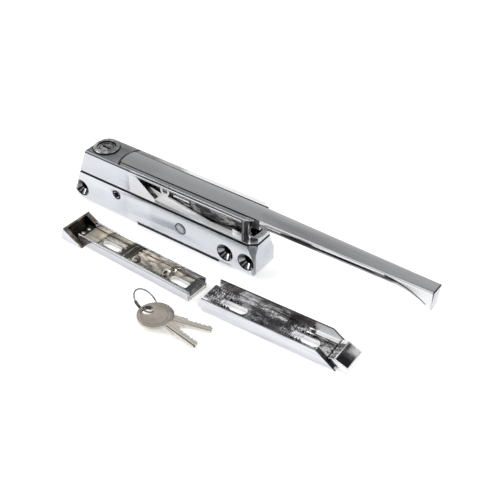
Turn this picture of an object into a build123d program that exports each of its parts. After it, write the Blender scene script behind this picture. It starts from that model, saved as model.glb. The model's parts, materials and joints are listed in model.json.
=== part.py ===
"""Magnetic door latch: a lever handle on a keyed, chrome plated case, with its two strikes and two keys.

All sizes are in millimetres. X runs along the latch from its lock to the handle's tip, Y runs from the
front face to the face that is screwed against the door, and Z points up from the table. The origin is
under the middle of the kit as it is laid out on a table.
"""
from build123d import *
from math import atan2, cos, degrees, pi, radians, sin, tan
import os

# Kit as laid out
KIT_DEPTH = 90.2
HANDLE_REACH = 245.4

# Screw holes, which set the case's length
HOLE_INSET = 5.2
HOLE_SPAN = 127.0
HOLE_END = 5.8
HOLE_PAIR = 14.8
HOLE_HEIGHT = 7.45
SCREW_HOLE = 5.2
SCREW_MOUTH = 11.4
SCREW_CONE = 90.0

# Case
BODY_LENGTH = HOLE_INSET + HOLE_SPAN + HOLE_END
BODY_WIDTH = 20.0
BASE_HEIGHT = 19.7
GASKET = 1.3
CASE_TOP = 36.3
PLATE = 1.5
TOE_RISE = 6.5
TOE_RADIUS = 5.0
LEAN = 0.39
BACK_ROUND = 6.5
GASKET_INSET = 0.7
EDGE = 0.35

# Cut-away corners at the handle end
SCOOP_FOOT = 9.8
SCOOP_WAIST = 18.0
SCOOP_LENGTH = 4.4
SCOOP_TOP_LENGTH = 6.8
SCOOP_DEPTH = 4.1

# Lever
PIVOT_X = 71.4
PIVOT_Z = 30.2
PIVOT_PIN = 3.6
PIN_FIT = 0.04
LUG = 3.4
LUG_NECK = 4.6
HANDLE_SWING = 9.0
FLANGE = 3.2
HANDLE_LEFT = 38.0
HANDLE_BULGE = 1.5
HANDLE_WIDTH = 13.4
HANDLE_NECK_WIDTH = 12.3
HANDLE_TIP_WIDTH = 8.2
HANDLE_NECK_X = BODY_LENGTH + 1.0
HANDLE_DEPTH = 6.6
HOOK_LENGTH = 24.4
HOOK_DEPTH = 14.4
HOOK_RAKE = 1.4
HANDLE_ROUND = 3.4
WEB_WIDTH = 10.4
WEB_FOOT = 23.1
WEB_SIDE_GAP = 0.4
HEEL_X = 39.0
TAIL_WIDTH = 6.0
TAIL_TOP = 32.0
SLOT_GAP = 0.4
WEB_SLOT_X = 78.6
WEB_SLOT_LENGTH = 10.8
WEB_SLOT_HEIGHT = 3.0
WEB_SLOT_Z = 31.1

# Side windows
RECESS_DEPTH = 3.2
CHEEK = 1.2
RAIL_FOOT = 34.3
WINDOW_LEFT = 52.5
CUT_FOOT_X = 66.0
CUT_FOOT_Z = 23.8
WINDOW_END = 8.6
WINDOW_RIGHT = BODY_LENGTH - WINDOW_END
LEDGE = 0.8
CHEEK_SLOPE = 9.0
CHEEK_TIP_Z = 28.9
END_WALL = 3.6
SADDLE_SIDE = 26.4
SADDLE_DIP = 23.4
SADDLE_RADIUS = 14.0
BRIDGE_LENGTH = 8.4
BRIDGE_GAP = 0.5
BRIDGE_X = WINDOW_RIGHT - BRIDGE_GAP - BRIDGE_LENGTH
BRIDGE_TOP = 24.2

# Lock
LOCK_X = 20.6
BEZEL = 16.2
BEZEL_RISE = 1.0
BARREL = 11.6
BARREL_FIT = 0.1
BARREL_RISE = 0.5
BARREL_FOOT = 23.2
PLUG = 8.6
PLUG_SINK = 0.3
KEYWAY_LENGTH = 6.4
KEYWAY_WIDTH = 1.6
KEYWAY_DEPTH = 12.0
CAM_POCKET = 16.6
CAM_POCKET_TOP = 24.9
CAM_REACH = 7.8
CAM_WIDTH = 7.0
CAM_THICK = 1.7
CAM_GAP = 0.3
CAM_SQUARE = 4.0
CAM_SCREW = 3.0
CAM_SCREW_HEAD = 5.4
CAM_SCREW_HEAD_HEIGHT = 1.4
CLIP_THICK = 0.8
CLIP_BITE = 0.6
CLIP_RIM = 1.1
CLIP_MOUTH = 45.0
CASE_SCREW = 2.9
CASE_SCREW_HEAD = 5.4
CASE_SCREW_X = 9.9
CASE_SCREW_GRIP = 6.0
BRIDGE_SCREW_GRIP = 2.6

# Heel pocket, stop pin and release plunger
POCKET_FLOOR = 14.8
POCKET_WALL = 3.0
POCKET_LEFT = 12.0
POCKET_RIGHT = 66.0
STOP_PIN = 5.5
STOP_PIN_BORE = 3.3
STOP_PIN_SPLIT = 1.1
STOP_PIN_X = 35.0
STOP_PIN_Z = 14.2
PLUNGER_X = 43.6
PLUNGER_HEAD = 7.6
PLUNGER_HEAD_HEIGHT = 2.2
PLUNGER_STEM = 4.6
PLUNGER_FIT = 0.08
PLUNGER_GAP = 0.3
SPRING_SEAT = 5.0
SPRING_BORE = 8.4
SPRING_WIRE = 0.7
SPRING_COIL = 6.3
SPRING_TURNS = 7
SPRING_GAP = 0.15

# Magnet pack
POLE_STAND = 2.0
MAGNET_LEFT = 50.0
MAGNET_END = 26.0
MAGNET_LENGTH = BODY_LENGTH - MAGNET_END - MAGNET_LEFT
PACK_GAP = 0.3
POLE_THICK = 2.6
SHOE_INSET = 0.5
SHOE_GAP = 0.05
PACK_WIDTH = 13.4
PACK_TOP = 13.0
CARRIER_HEIGHT = 6.0
MAGNET_COUNT = 3
MAGNET_GAP = 0.6
MAGNET_SINK = 0.8
RIVET_X = 84.8
RIVET_Z = 10.3
RIVET_HEAD = 7.0
RIVET_SHANK = 4.0
RIVET_HEAD_DEPTH = 1.6

# Left strike: folded channel with a hooded end
STRIKE_A_X = 33.6
STRIKE_A_Y = -34.2
STRIKE_A_TURN = -2.1
STRIKE_A_LENGTH = 86.4
STRIKE_A_WIDTH = 15.8
STRIKE_A_HEIGHT = 6.8
STRIKE_WALL = 1.0
FLOOR_A_THICK = 1.6
FLOOR_A_SEAM = 11.2
SLOT_A_LEFT = 20.3
SLOT_A_SPACING = 53.0
SLOT_A_LENGTH = 14.0
SLOT_A_WIDTH = 5.2
RIB_A_START = 29.0
RIB_A_PITCH = 2.0
RIB_A_COUNT = 4
RIB_A_HEIGHT = 0.7
BLOCK_A_LENGTH = 5.2
BLOCK_A_HEIGHT = 2.2
HOOD_WALL = 3.0
HOOD_REACH = 12.2
HOOD_HEIGHT = 8.2
HOOD_LEAN = 2.5
HOOD_FOOT = 5.0
HOOD_PLATE = 1.2
HOOD_FLOOR = 1.0
HOOD_HOLE = 2.4
FIT = 0.1
EYELETS = ((40.0, 7.2, 5.2), (62.0, 8.6, 5.6), (64.8, 12.4, 3.6))
EYELET_RISE = 1.0
EYELET_WALL = 0.4
BLOCK_A_GROOVES = 4

# Right strike: folded channel with a serrated plate and a ramped nose
STRIKE_B_X = 129.9
STRIKE_B_Y = -39.0
STRIKE_B_TURN = 2.2
STRIKE_B_LENGTH = 85.5
STRIKE_B_WIDTH = 20.0
STRIKE_B_HEIGHT = 8.6
STRIKE_B_CUT = 12.6
STRIKE_B_FLOOR_END = 6.1
STRIKE_B_FLOOR_LENGTH = STRIKE_B_LENGTH - STRIKE_B_FLOOR_END
PLATE_B_THICK = 2.8
PLATE_B_TONGUE = 2.9
PLATE_B_END = 7.5
PLATE_B_LENGTH = STRIKE_B_LENGTH - PLATE_B_END
SLOT_B_LEFT = 15.9
SLOT_B_END = 16.1
SLOT_B_SPACING = PLATE_B_LENGTH - SLOT_B_LEFT - SLOT_B_END
SLOT_B_LENGTH = 17.4
SLOT_B_WIDTH = 6.0
SLOT_B_LINE = 9.0
TOOTH_PITCH = 1.5
TOOTH_HEIGHT = 0.7
TOOTH_COUNT = 8
RIB_B_RADIUS = 1.1
RIB_B_LENGTH = 18.0
RIB_B_PITCH = 3.2
TEETH_LEAD = 7.0
NOSE_WIDTH = 16.0
NOSE_PEAK = 6.4
NOSE_INSET = 2.7
NOSE_PEAK_X = STRIKE_B_LENGTH - NOSE_INSET
NOSE_OVERHANG = 5.9
NOSE_END = STRIKE_B_LENGTH + NOSE_OVERHANG
NOSE_END_HEIGHT = 2.8
NOSE_SHELL = 1.0
PAD_THICK = 0.7
PAD_RIM = 0.9

# Keys on their ring
KEY_HOLE_X = 109.4
KEY_THICK = 1.5
KEY_GAP = 0.06
KEY_BOW = 19.4
KEY_HOLE = 6.8
KEY_HOLE_OFFSET = 5.2
KEY_LENGTH = 37.3
KEY_BLADE = 4.4
KEY_NECK = 6.4
KEY_NECK_END = 22.4
KEY_TIP = 1.2
KEY_GROOVE_WIDTH = 0.9
KEY_GROOVE_DEPTH = 0.35
KEY_NOTCH_PITCH = 2.5
KEY_NOTCH_COUNT = 5
KEY_NOTCH_DEPTH = 0.5
KEY_SPREAD_ANGLE = 24.4
KEY_MEAN_TURN = 5.3
RING_RADIUS = 7.7
RING_WIRE = 0.9
RING_TILT = 40.0
RING_FALL_TURN = 32.0
RING_KEY_ANGLE = 67.0
SLEEVE_ARC_ANGLE = 34.0
SLEEVE_START_ANGLE = 106.0
SLEEVE_WALL = 0.45
SLEEVE_FIT = 0.03

LATCH = Vector(-HANDLE_REACH / 2, KIT_DEPTH / 2 - BODY_WIDTH, POLE_STAND)
MID = BODY_WIDTH / 2
TOP = CASE_TOP + PLATE
HOUSING_FOOT = BASE_HEIGHT + GASKET


def level(height):
    """Horizontal plane at a height above the case's underside."""
    return Plane(LATCH + Vector(0, 0, height))


def upright(depth):
    """Upright plane along the latch, at a depth behind its front face; local y is height."""
    return Plane(LATCH + Vector(0, depth, 0), x_dir=(1, 0, 0), z_dir=(0, -1, 0))


def cross(distance):
    """Plane across the latch at a distance from its left end; local x is depth, local y is height."""
    return Plane(LATCH + Vector(distance, 0, 0), x_dir=(0, 1, 0), z_dir=(1, 0, 0))


def lean_x(height):
    """Where the leaning left end is at a height."""
    return max(0.0, LEAN * (height - TOE_RISE))


cheek_tip_x = WINDOW_LEFT + (CUT_FOOT_X - WINDOW_LEFT) * (RAIL_FOOT - CHEEK_TIP_Z) / (RAIL_FOOT - CUT_FOOT_Z)

# Waste that rounds the case's back left corner along its leaning end
with BuildPart() as corner_waste:
    with BuildSketch(level(TOE_RISE)) as corner_plan:
        with BuildLine():
            Polyline(
                (BACK_ROUND, BODY_WIDTH),
                (BACK_ROUND, BODY_WIDTH + BACK_ROUND),
                (-BACK_ROUND, BODY_WIDTH + BACK_ROUND),
                (-BACK_ROUND, BODY_WIDTH - BACK_ROUND),
                (0, BODY_WIDTH - BACK_ROUND),
            )
            RadiusArc((0, BODY_WIDTH - BACK_ROUND), (BACK_ROUND, BODY_WIDTH), BACK_ROUND)
        make_face()
    extrude(amount=-2 * TOE_RISE)
    extrude(corner_plan.sketch, amount=2 * TOP, dir=(LEAN, 0, 1))

# Waste that hollows the two corners beside the handle
scoop_levels = (
    (SCOOP_FOOT, EDGE, EDGE),
    (SCOOP_WAIST, SCOOP_LENGTH, SCOOP_DEPTH),
    (TOP + PLATE, SCOOP_TOP_LENGTH, SCOOP_DEPTH),
)
with BuildPart() as scoop_waste:
    for low, high in zip(scoop_levels[:-1], scoop_levels[1:]):
        for height, run, depth in (low, high):
            with BuildSketch(level(height)):
                with BuildLine():
                    Polyline(
                        (BODY_LENGTH - run, 0),
                        (BODY_LENGTH - run, -depth),
                        (BODY_LENGTH + depth, -depth),
                        (BODY_LENGTH + depth, depth),
                        (BODY_LENGTH, depth),
                        close=True,
                    )
                make_face()
        loft(ruled=True)
    mirror(about=upright(MID))


def case_block(low, high, inset=0.0):
    """Add the case's outer form between two heights, its sides drawn in by an inset."""
    left, right = inset, BODY_LENGTH - inset
    with BuildSketch(upright(inset)) as side:
        with BuildLine():
            if low < TOE_RADIUS:
                middle = TOE_RADIUS * (1 - cos(pi / 4))
                ThreePointArc((left, TOE_RADIUS), (middle, middle), (TOE_RADIUS, low))
                Polyline((TOE_RADIUS, low), (right, low), (right, high), (lean_x(high), high))
                Polyline((lean_x(high), high), (left, TOE_RISE), (left, TOE_RADIUS))
            else:
                Polyline(
                    (lean_x(low) + left, low),
                    (right, low),
                    (right, high),
                    (lean_x(high) + left, high),
                    close=True,
                )
        make_face()
    extrude(side.sketch, amount=-(BODY_WIDTH - 2 * inset))
    add(corner_waste.part, mode=Mode.SUBTRACT)
    add(scoop_waste.part, mode=Mode.SUBTRACT)


def box_cut(x, y, z, mode=Mode.SUBTRACT):
    """Cut, or add, a box given by its low and high limits along each axis of the latch."""
    with BuildSketch(level(z[0])) as plan:
        with Locations(((x[0] + x[1]) / 2, (y[0] + y[1]) / 2)):
            Rectangle(x[1] - x[0], y[1] - y[0])
    extrude(plan.sketch, amount=z[1] - z[0], mode=mode)


def bore_across(x, z, diameter, start=0.0, end=BODY_WIDTH, mode=Mode.SUBTRACT):
    """Cut, or add, a round hole or pin across the latch."""
    with BuildSketch(upright(start)) as section:
        with Locations((x, z)):
            Circle(diameter / 2)
    extrude(section.sketch, amount=-(end - start), mode=mode)


def bore_down(x, top, foot, diameter, mode=Mode.SUBTRACT):
    """Cut, or add, an upright round hole or pin on the latch's middle line."""
    with BuildSketch(level(foot)) as section:
        with Locations((x, MID)):
            Circle(diameter / 2)
    extrude(section.sketch, amount=top - foot, mode=mode)


hole_places = (HOLE_INSET, HOLE_INSET + HOLE_SPAN - HOLE_PAIR, HOLE_INSET + HOLE_SPAN)
screw_cone_depth = (SCREW_MOUTH - SCREW_HOLE) / 2 / tan(radians(SCREW_CONE / 2))
pack_front = MID - PACK_WIDTH / 2
pack_back = MID + PACK_WIDTH / 2
magnet_right = MAGNET_LEFT + MAGNET_LENGTH
carrier_foot = PACK_TOP - CARRIER_HEIGHT
bridge_screw_x = BRIDGE_X + BRIDGE_LENGTH / 2
case_screw_places = (
    (CASE_SCREW_X, HOUSING_FOOT + CASE_SCREW_GRIP),
    (bridge_screw_x, HOUSING_FOOT + BRIDGE_SCREW_GRIP),
)
case_screw_head_depth = (CASE_SCREW_HEAD - CASE_SCREW) / 2
cavity_front = MID - WEB_WIDTH / 2 - WEB_SIDE_GAP
cavity_back = MID + WEB_WIDTH / 2 + WEB_SIDE_GAP
slot_left = HANDLE_LEFT - HANDLE_BULGE - SLOT_GAP
heel_drop = (PIVOT_X - slot_left) * tan(radians(HANDLE_SWING))
tail_x = LOCK_X + BARREL / 2 + SLOT_GAP
plunger_top = WEB_FOOT - PLUNGER_GAP
plunger_head_foot = plunger_top - PLUNGER_HEAD_HEIGHT
spring_top = plunger_head_foot - SPRING_GAP
spring_foot = SPRING_SEAT + SPRING_GAP

# Base: holds the magnets, the plunger and the three screw holes
with BuildPart() as base_body:
    case_block(0, BASE_HEIGHT)
    for hole_x in hole_places:
        bore_across(hole_x, HOLE_HEIGHT, SCREW_HOLE)
        with BuildSketch(upright(0)):
            with Locations((hole_x, HOLE_HEIGHT)):
                Circle(SCREW_MOUTH / 2)
        extrude(amount=-screw_cone_depth, taper=SCREW_CONE / 2, mode=Mode.SUBTRACT)
    box_cut(
        (MAGNET_LEFT - PACK_GAP, magnet_right + PACK_GAP),
        (pack_front - PIN_FIT, pack_back + PIN_FIT),
        (-1, PACK_TOP + PACK_GAP),
    )
    box_cut(
        (POCKET_LEFT, POCKET_RIGHT),
        (POCKET_WALL, BODY_WIDTH - POCKET_WALL),
        (POCKET_FLOOR, BASE_HEIGHT + 1),
    )
    bore_down(LOCK_X, BASE_HEIGHT + 1, POCKET_FLOOR, CAM_POCKET)
    bore_down(PLUNGER_X, POCKET_FLOOR + 1, SPRING_SEAT, SPRING_BORE)
    bore_down(PLUNGER_X, SPRING_SEAT + 1, -1, PLUNGER_STEM + 2 * PLUNGER_FIT)
    bore_across(STOP_PIN_X, STOP_PIN_Z, STOP_PIN + PIN_FIT)
    bore_across(RIVET_X, RIVET_Z, RIVET_SHANK + PIN_FIT)
    bore_across(RIVET_X, RIVET_Z, RIVET_HEAD + PIN_FIT, end=RIVET_HEAD_DEPTH)
    for screw_x, screw_top in case_screw_places:
        bore_down(screw_x, BASE_HEIGHT + 1, -1, CASE_SCREW + PIN_FIT)
        bore_down(screw_x, case_screw_head_depth, -1, CASE_SCREW_HEAD + PIN_FIT)
base_body.part.label = "base_body"

# Black gasket that shows as the dark line between base and housing
with BuildPart() as split_gasket:
    case_block(BASE_HEIGHT, HOUSING_FOOT, inset=GASKET_INSET)
    box_cut(
        (tail_x, BODY_LENGTH - END_WALL),
        (POCKET_WALL, BODY_WIDTH - POCKET_WALL),
        (BASE_HEIGHT - 1, HOUSING_FOOT + 1),
    )
    bore_down(LOCK_X, HOUSING_FOOT + 1, BASE_HEIGHT - 1, CAM_POCKET)
    for screw_x, screw_top in case_screw_places:
        bore_down(screw_x, HOUSING_FOOT + 1, BASE_HEIGHT - 1, CASE_SCREW + PIN_FIT)
split_gasket.part.label = "split_gasket"

window_recess = (
    (WINDOW_LEFT, RAIL_FOOT),
    (CUT_FOOT_X, CUT_FOOT_Z),
    (WINDOW_RIGHT, HOUSING_FOOT + LEDGE),
    (WINDOW_RIGHT, RAIL_FOOT),
)
cheek_end_x = cheek_tip_x + (CHEEK_TIP_Z - HOUSING_FOOT - LEDGE) / tan(radians(CHEEK_SLOPE))
window_opening = (
    (WINDOW_LEFT, RAIL_FOOT),
    (cheek_tip_x, CHEEK_TIP_Z),
    (cheek_end_x, HOUSING_FOOT + LEDGE),
    (WINDOW_RIGHT, HOUSING_FOOT + LEDGE),
    (WINDOW_RIGHT, RAIL_FOOT),
)

# Upper housing: carries the lock and the lever between two windowed side walls
with BuildPart() as upper_housing:
    case_block(HOUSING_FOOT, CASE_TOP)
    box_cut(
        (HEEL_X - SLOT_GAP, BODY_LENGTH - END_WALL),
        (cavity_front, cavity_back),
        (HOUSING_FOOT - 1, CASE_TOP + 1),
    )
    box_cut(
        (tail_x - SLOT_GAP, HEEL_X + 1),
        (MID - TAIL_WIDTH / 2 - SLOT_GAP, MID + TAIL_WIDTH / 2 + SLOT_GAP),
        (HOUSING_FOOT - 1, TAIL_TOP + SLOT_GAP),
    )
    box_cut(
        (slot_left - 2 * SLOT_GAP, PIVOT_X),
        (MID - HANDLE_WIDTH / 2 - SLOT_GAP, MID + HANDLE_WIDTH / 2 + SLOT_GAP),
        (TOP - FLANGE - heel_drop - SLOT_GAP, CASE_TOP + 1),
    )
    box_cut(
        (PIVOT_X - 1, BODY_LENGTH + 1),
        (MID - HANDLE_WIDTH / 2 - SLOT_GAP, MID + HANDLE_WIDTH / 2 + SLOT_GAP),
        (RAIL_FOOT - SLOT_GAP, CASE_TOP + 1),
    )
    for wall_face in (0, BODY_WIDTH - RECESS_DEPTH):
        with BuildSketch(upright(wall_face)):
            with BuildLine():
                Polyline(*window_recess, close=True)
            make_face()
        extrude(amount=-RECESS_DEPTH, mode=Mode.SUBTRACT)
    with BuildSketch(upright(0)):
        with BuildLine():
            Polyline(*window_opening, close=True)
        make_face()
    extrude(amount=-BODY_WIDTH, mode=Mode.SUBTRACT)
    box_cut(
        (WINDOW_RIGHT, BODY_LENGTH + 1),
        (cavity_front - CHEEK, cavity_back + CHEEK),
        (SADDLE_SIDE, CASE_TOP + 1),
    )
    with BuildSketch(cross(BODY_LENGTH - END_WALL - 1)):
        with Locations((MID, SADDLE_DIP + SADDLE_RADIUS)):
            Circle(SADDLE_RADIUS)
    extrude(amount=END_WALL + 2, mode=Mode.SUBTRACT)
    for lug_face in (RECESS_DEPTH, BODY_WIDTH - RECESS_DEPTH - CHEEK):
        with BuildSketch(upright(lug_face)):
            with Locations((PIVOT_X, PIVOT_Z)):
                Circle(LUG)
            with Locations((PIVOT_X, (PIVOT_Z + CUT_FOOT_Z) / 2)):
                Rectangle(LUG_NECK, PIVOT_Z - CUT_FOOT_Z)
        extrude(amount=-CHEEK)
    box_cut(
        (BRIDGE_X, BRIDGE_X + BRIDGE_LENGTH),
        (cavity_front - CHEEK, cavity_back + CHEEK),
        (HOUSING_FOOT, BRIDGE_TOP),
        mode=Mode.ADD,
    )
    bore_across(PIVOT_X, PIVOT_Z, PIVOT_PIN + PIN_FIT)
    bore_down(LOCK_X, CASE_TOP + 1, HOUSING_FOOT - 1, BARREL + 2 * BARREL_FIT)
    bore_down(LOCK_X, CAM_POCKET_TOP, HOUSING_FOOT - 1, CAM_POCKET)
    for screw_x, screw_top in case_screw_places:
        bore_down(screw_x, screw_top, HOUSING_FOOT - 1, CASE_SCREW + PIN_FIT)
upper_housing.part.label = "upper_housing"


def handle_outline():
    """Plan of the handle from its bulged inner end to its narrow tip."""
    half_left = HANDLE_WIDTH / 2
    half_neck = HANDLE_NECK_WIDTH / 2
    half_tip = HANDLE_TIP_WIDTH / 2
    inner_end = (HANDLE_LEFT - HANDLE_BULGE, MID)
    with BuildSketch(Plane.XY) as plan:
        with BuildLine():
            ThreePointArc((HANDLE_LEFT, MID + half_left), inner_end, (HANDLE_LEFT, MID - half_left))
            Polyline(
                (HANDLE_LEFT, MID - half_left),
                (HANDLE_NECK_X, MID - half_neck),
                (HANDLE_REACH, MID - half_tip),
                (HANDLE_REACH, MID + half_tip),
                (HANDLE_NECK_X, MID + half_neck),
                (HANDLE_LEFT, MID + half_left),
            )
        make_face()
    return plan.sketch


# Brushed plate over the housing, open where the handle lies
with BuildPart() as top_plate:
    case_block(CASE_TOP, TOP)
    with BuildSketch(level(CASE_TOP - 1)):
        with BuildLine():
            slot_half = HANDLE_WIDTH / 2 + SLOT_GAP
            slot_back = MID + slot_half
            slot_front = MID - slot_half
            slot_side = HANDLE_LEFT - SLOT_GAP
            ThreePointArc((slot_side, slot_back), (slot_left, MID), (slot_side, slot_front))
            Line((slot_side, slot_front), (BODY_LENGTH + 1, slot_front))
            Line((BODY_LENGTH + 1, slot_front), (BODY_LENGTH + 1, slot_back))
            Line((BODY_LENGTH + 1, slot_back), (slot_side, slot_back))
        make_face()
    extrude(amount=PLATE + 2, mode=Mode.SUBTRACT)
    bore_down(LOCK_X, TOP + 1, CASE_TOP - 1, BARREL + 2 * BARREL_FIT)
top_plate.part.label = "top_plate"

neck_height = TOP - HANDLE_DEPTH
hook_start = HANDLE_REACH - HOOK_LENGTH
handle_end_x = HANDLE_LEFT - 2 * HANDLE_BULGE
hook_tip = (HANDLE_REACH - HOOK_RAKE, TOP - HOOK_DEPTH)

# Free length of the handle, with a rounded belly and a hooked tip
with BuildPart() as handle_shaft:
    with BuildSketch(level(TOP)):
        add(handle_outline())
    extrude(amount=-2 * HOOK_DEPTH)
    with BuildSketch(upright(0)):
        with BuildLine():
            Polyline((HANDLE_NECK_X, TOP), (HANDLE_NECK_X, neck_height), (hook_start, neck_height))
            TangentArc((hook_start, neck_height), hook_tip, tangent=(1, 0))
            Polyline(hook_tip, (HANDLE_REACH, TOP), (HANDLE_NECK_X, TOP))
        make_face()
    extrude(amount=-BODY_WIDTH, mode=Mode.INTERSECT)
    under = handle_shaft.edges().filter_by(lambda edge: edge.center().Z < LATCH.Z + TOP - 1)
    fillet(under.filter_by(lambda edge: edge.bounding_box().size.X > HANDLE_DEPTH), HANDLE_ROUND)

# Handle: flat topped lever with a web and a heel
with BuildPart() as handle:
    with BuildSketch(level(TOP)):
        add(handle_outline())
    extrude(amount=-2 * HOOK_DEPTH)
    with BuildSketch(upright(0)):
        with BuildLine():
            Polyline(
                (handle_end_x, TOP),
                (handle_end_x, TOP - FLANGE),
                (BODY_LENGTH - END_WALL - FLANGE, TOP - FLANGE),
                (BODY_LENGTH - END_WALL, neck_height),
                (HANDLE_NECK_X, neck_height),
                (HANDLE_NECK_X, TOP),
                close=True,
            )
        make_face()
    extrude(amount=-BODY_WIDTH, mode=Mode.INTERSECT)
    add(handle_shaft.part)
    with BuildSketch(upright(MID - WEB_WIDTH / 2)):
        with BuildLine():
            Polyline(
                (HEEL_X, TOP - FLANGE),
                (HEEL_X, WEB_FOOT),
                (BRIDGE_X - BRIDGE_LENGTH, WEB_FOOT),
                (BODY_LENGTH, neck_height),
                (BODY_LENGTH, TOP - FLANGE),
                close=True,
            )
        make_face()
    extrude(amount=-WEB_WIDTH)
    box_cut(
        (tail_x, HEEL_X + 1),
        (MID - TAIL_WIDTH / 2, MID + TAIL_WIDTH / 2),
        (WEB_FOOT, TAIL_TOP),
        mode=Mode.ADD,
    )
    bore_across(PIVOT_X, PIVOT_Z, PIVOT_PIN + 2 * PIN_FIT)
    with BuildSketch(upright(0)):
        with Locations((WEB_SLOT_X + WEB_SLOT_LENGTH / 2, WEB_SLOT_Z)):
            SlotOverall(WEB_SLOT_LENGTH, WEB_SLOT_HEIGHT)
    extrude(amount=-BODY_WIDTH, mode=Mode.SUBTRACT)
handle.part.label = "handle"

# Pin that the lever turns on, through the two lugs
with BuildPart() as pivot_pin:
    bore_across(PIVOT_X, PIVOT_Z, PIVOT_PIN, RECESS_DEPTH, BODY_WIDTH - RECESS_DEPTH, mode=Mode.ADD)
    chamfer(pivot_pin.edges().filter_by(GeomType.CIRCLE), EDGE)
pivot_pin.part.label = "pivot_pin"

# Slotted spring pin that stops the heel
with BuildPart() as stop_pin:
    bore_across(STOP_PIN_X, STOP_PIN_Z, STOP_PIN, mode=Mode.ADD)
    bore_across(STOP_PIN_X, STOP_PIN_Z, STOP_PIN_BORE)
    with BuildSketch(upright(0)):
        with Locations((STOP_PIN_X - STOP_PIN / 2, STOP_PIN_Z)):
            Rectangle(STOP_PIN, STOP_PIN_SPLIT)
    extrude(amount=-BODY_WIDTH, mode=Mode.SUBTRACT)
stop_pin.part.label = "stop_pin"

# Rivet through the magnet carrier, its head flush with the front face
with BuildPart() as magnet_rivet:
    bore_across(RIVET_X, RIVET_Z, RIVET_SHANK, mode=Mode.ADD)
    bore_across(RIVET_X, RIVET_Z, RIVET_HEAD, end=RIVET_HEAD_DEPTH, mode=Mode.ADD)
magnet_rivet.part.label = "magnet_rivet"


def magnet_box(x, y, z):
    """Add a bar of the magnet pack, with the rivet's hole where it passes."""
    box_cut(x, y, z, mode=Mode.ADD)
    bore_across(RIVET_X, RIVET_Z, RIVET_SHANK + PIN_FIT)


# Steel pole plates, whose shoes stand out under the case
with BuildPart() as pole_plate_front:
    magnet_box(
        (MAGNET_LEFT, magnet_right),
        (pack_front, pack_front + POLE_THICK),
        (-POLE_STAND, PACK_TOP),
    )
    box_cut(
        (MAGNET_LEFT, magnet_right),
        (SHOE_INSET, pack_front + POLE_THICK),
        (-POLE_STAND, -SHOE_GAP),
        mode=Mode.ADD,
    )
pole_plate_front.part.label = "pole_plate_front"

with BuildPart() as pole_plate_back:
    magnet_box(
        (MAGNET_LEFT, magnet_right),
        (pack_back - POLE_THICK, pack_back),
        (-POLE_STAND, PACK_TOP),
    )
    box_cut(
        (MAGNET_LEFT, magnet_right),
        (pack_back - POLE_THICK, BODY_WIDTH - SHOE_INSET),
        (-POLE_STAND, -SHOE_GAP),
        mode=Mode.ADD,
    )
pole_plate_back.part.label = "pole_plate_back"

# Bar between the pole plates that carries the magnets
with BuildPart() as magnet_carrier:
    magnet_box(
        (MAGNET_LEFT, magnet_right),
        (pack_front + POLE_THICK, pack_back - POLE_THICK),
        (carrier_foot, PACK_TOP),
    )
magnet_carrier.part.label = "magnet_carrier"

# Row of block magnets between the pole plates
magnet_length = (MAGNET_LENGTH - (MAGNET_COUNT - 1) * MAGNET_GAP) / MAGNET_COUNT
with BuildPart() as magnets:
    for index in range(MAGNET_COUNT):
        magnet_x = MAGNET_LEFT + index * (magnet_length + MAGNET_GAP)
        box_cut(
            (magnet_x, magnet_x + magnet_length),
            (pack_front + POLE_THICK, pack_back - POLE_THICK),
            (MAGNET_SINK - POLE_STAND, carrier_foot),
            mode=Mode.ADD,
        )
magnets.part.label = "magnets"

# Plunger that the heel pushes down to break the magnets' hold
with BuildPart() as release_plunger:
    bore_down(PLUNGER_X, plunger_top, 0, PLUNGER_STEM, mode=Mode.ADD)
    bore_down(PLUNGER_X, plunger_top, plunger_head_foot, PLUNGER_HEAD, mode=Mode.ADD)
    chamfer(release_plunger.edges().filter_by(GeomType.CIRCLE).sort_by(Axis.Z)[0], EDGE)
release_plunger.part.label = "release_plunger"

# Coil spring round the plunger's stem
spring_height = spring_top - spring_foot - SPRING_WIRE
with BuildPart() as plunger_spring:
    with BuildLine(level(spring_foot + SPRING_WIRE / 2)) as coil:
        Helix(spring_height / SPRING_TURNS, spring_height, SPRING_COIL / 2, center=(PLUNGER_X, MID, 0))
    with BuildSketch(Plane(coil.line @ 0, z_dir=coil.line % 0)):
        Circle(SPRING_WIRE / 2)
    sweep(is_frenet=True)
plunger_spring.part.label = "plunger_spring"

# Screws from below that hold the housing on the base
with BuildPart() as case_screws:
    for screw_x, screw_top in case_screw_places:
        bore_down(screw_x, screw_top - EDGE, 0, CASE_SCREW, mode=Mode.ADD)
        bore_down(screw_x, case_screw_head_depth - EDGE / 2, 0, CASE_SCREW_HEAD, mode=Mode.ADD)
        with BuildSketch(level(-1)):
            with Locations((screw_x, MID)):
                Rectangle(CASE_SCREW_HEAD - 1, EDGE * 2)
        extrude(amount=1 + EDGE, mode=Mode.SUBTRACT)
case_screws.part.label = "case_screws"

barrel_top = TOP + BARREL_RISE
plug_top = barrel_top - PLUG_SINK
cam_top = plunger_top
cam_foot = cam_top - CAM_THICK
clip_top = CAM_POCKET_TOP - EDGE / 3
clip_foot = clip_top - CLIP_THICK

# Chrome trim ring round the lock
with BuildPart() as lock_bezel:
    bore_down(LOCK_X, TOP + BEZEL_RISE, TOP, BEZEL, mode=Mode.ADD)
    fillet(lock_bezel.edges().filter_by(GeomType.CIRCLE).sort_by(Axis.Z)[-1], BEZEL_RISE / 2)
    bore_down(LOCK_X, TOP + BEZEL_RISE + 1, TOP - 1, BARREL + 2 * BARREL_FIT)
lock_bezel.part.label = "lock_bezel"

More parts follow.
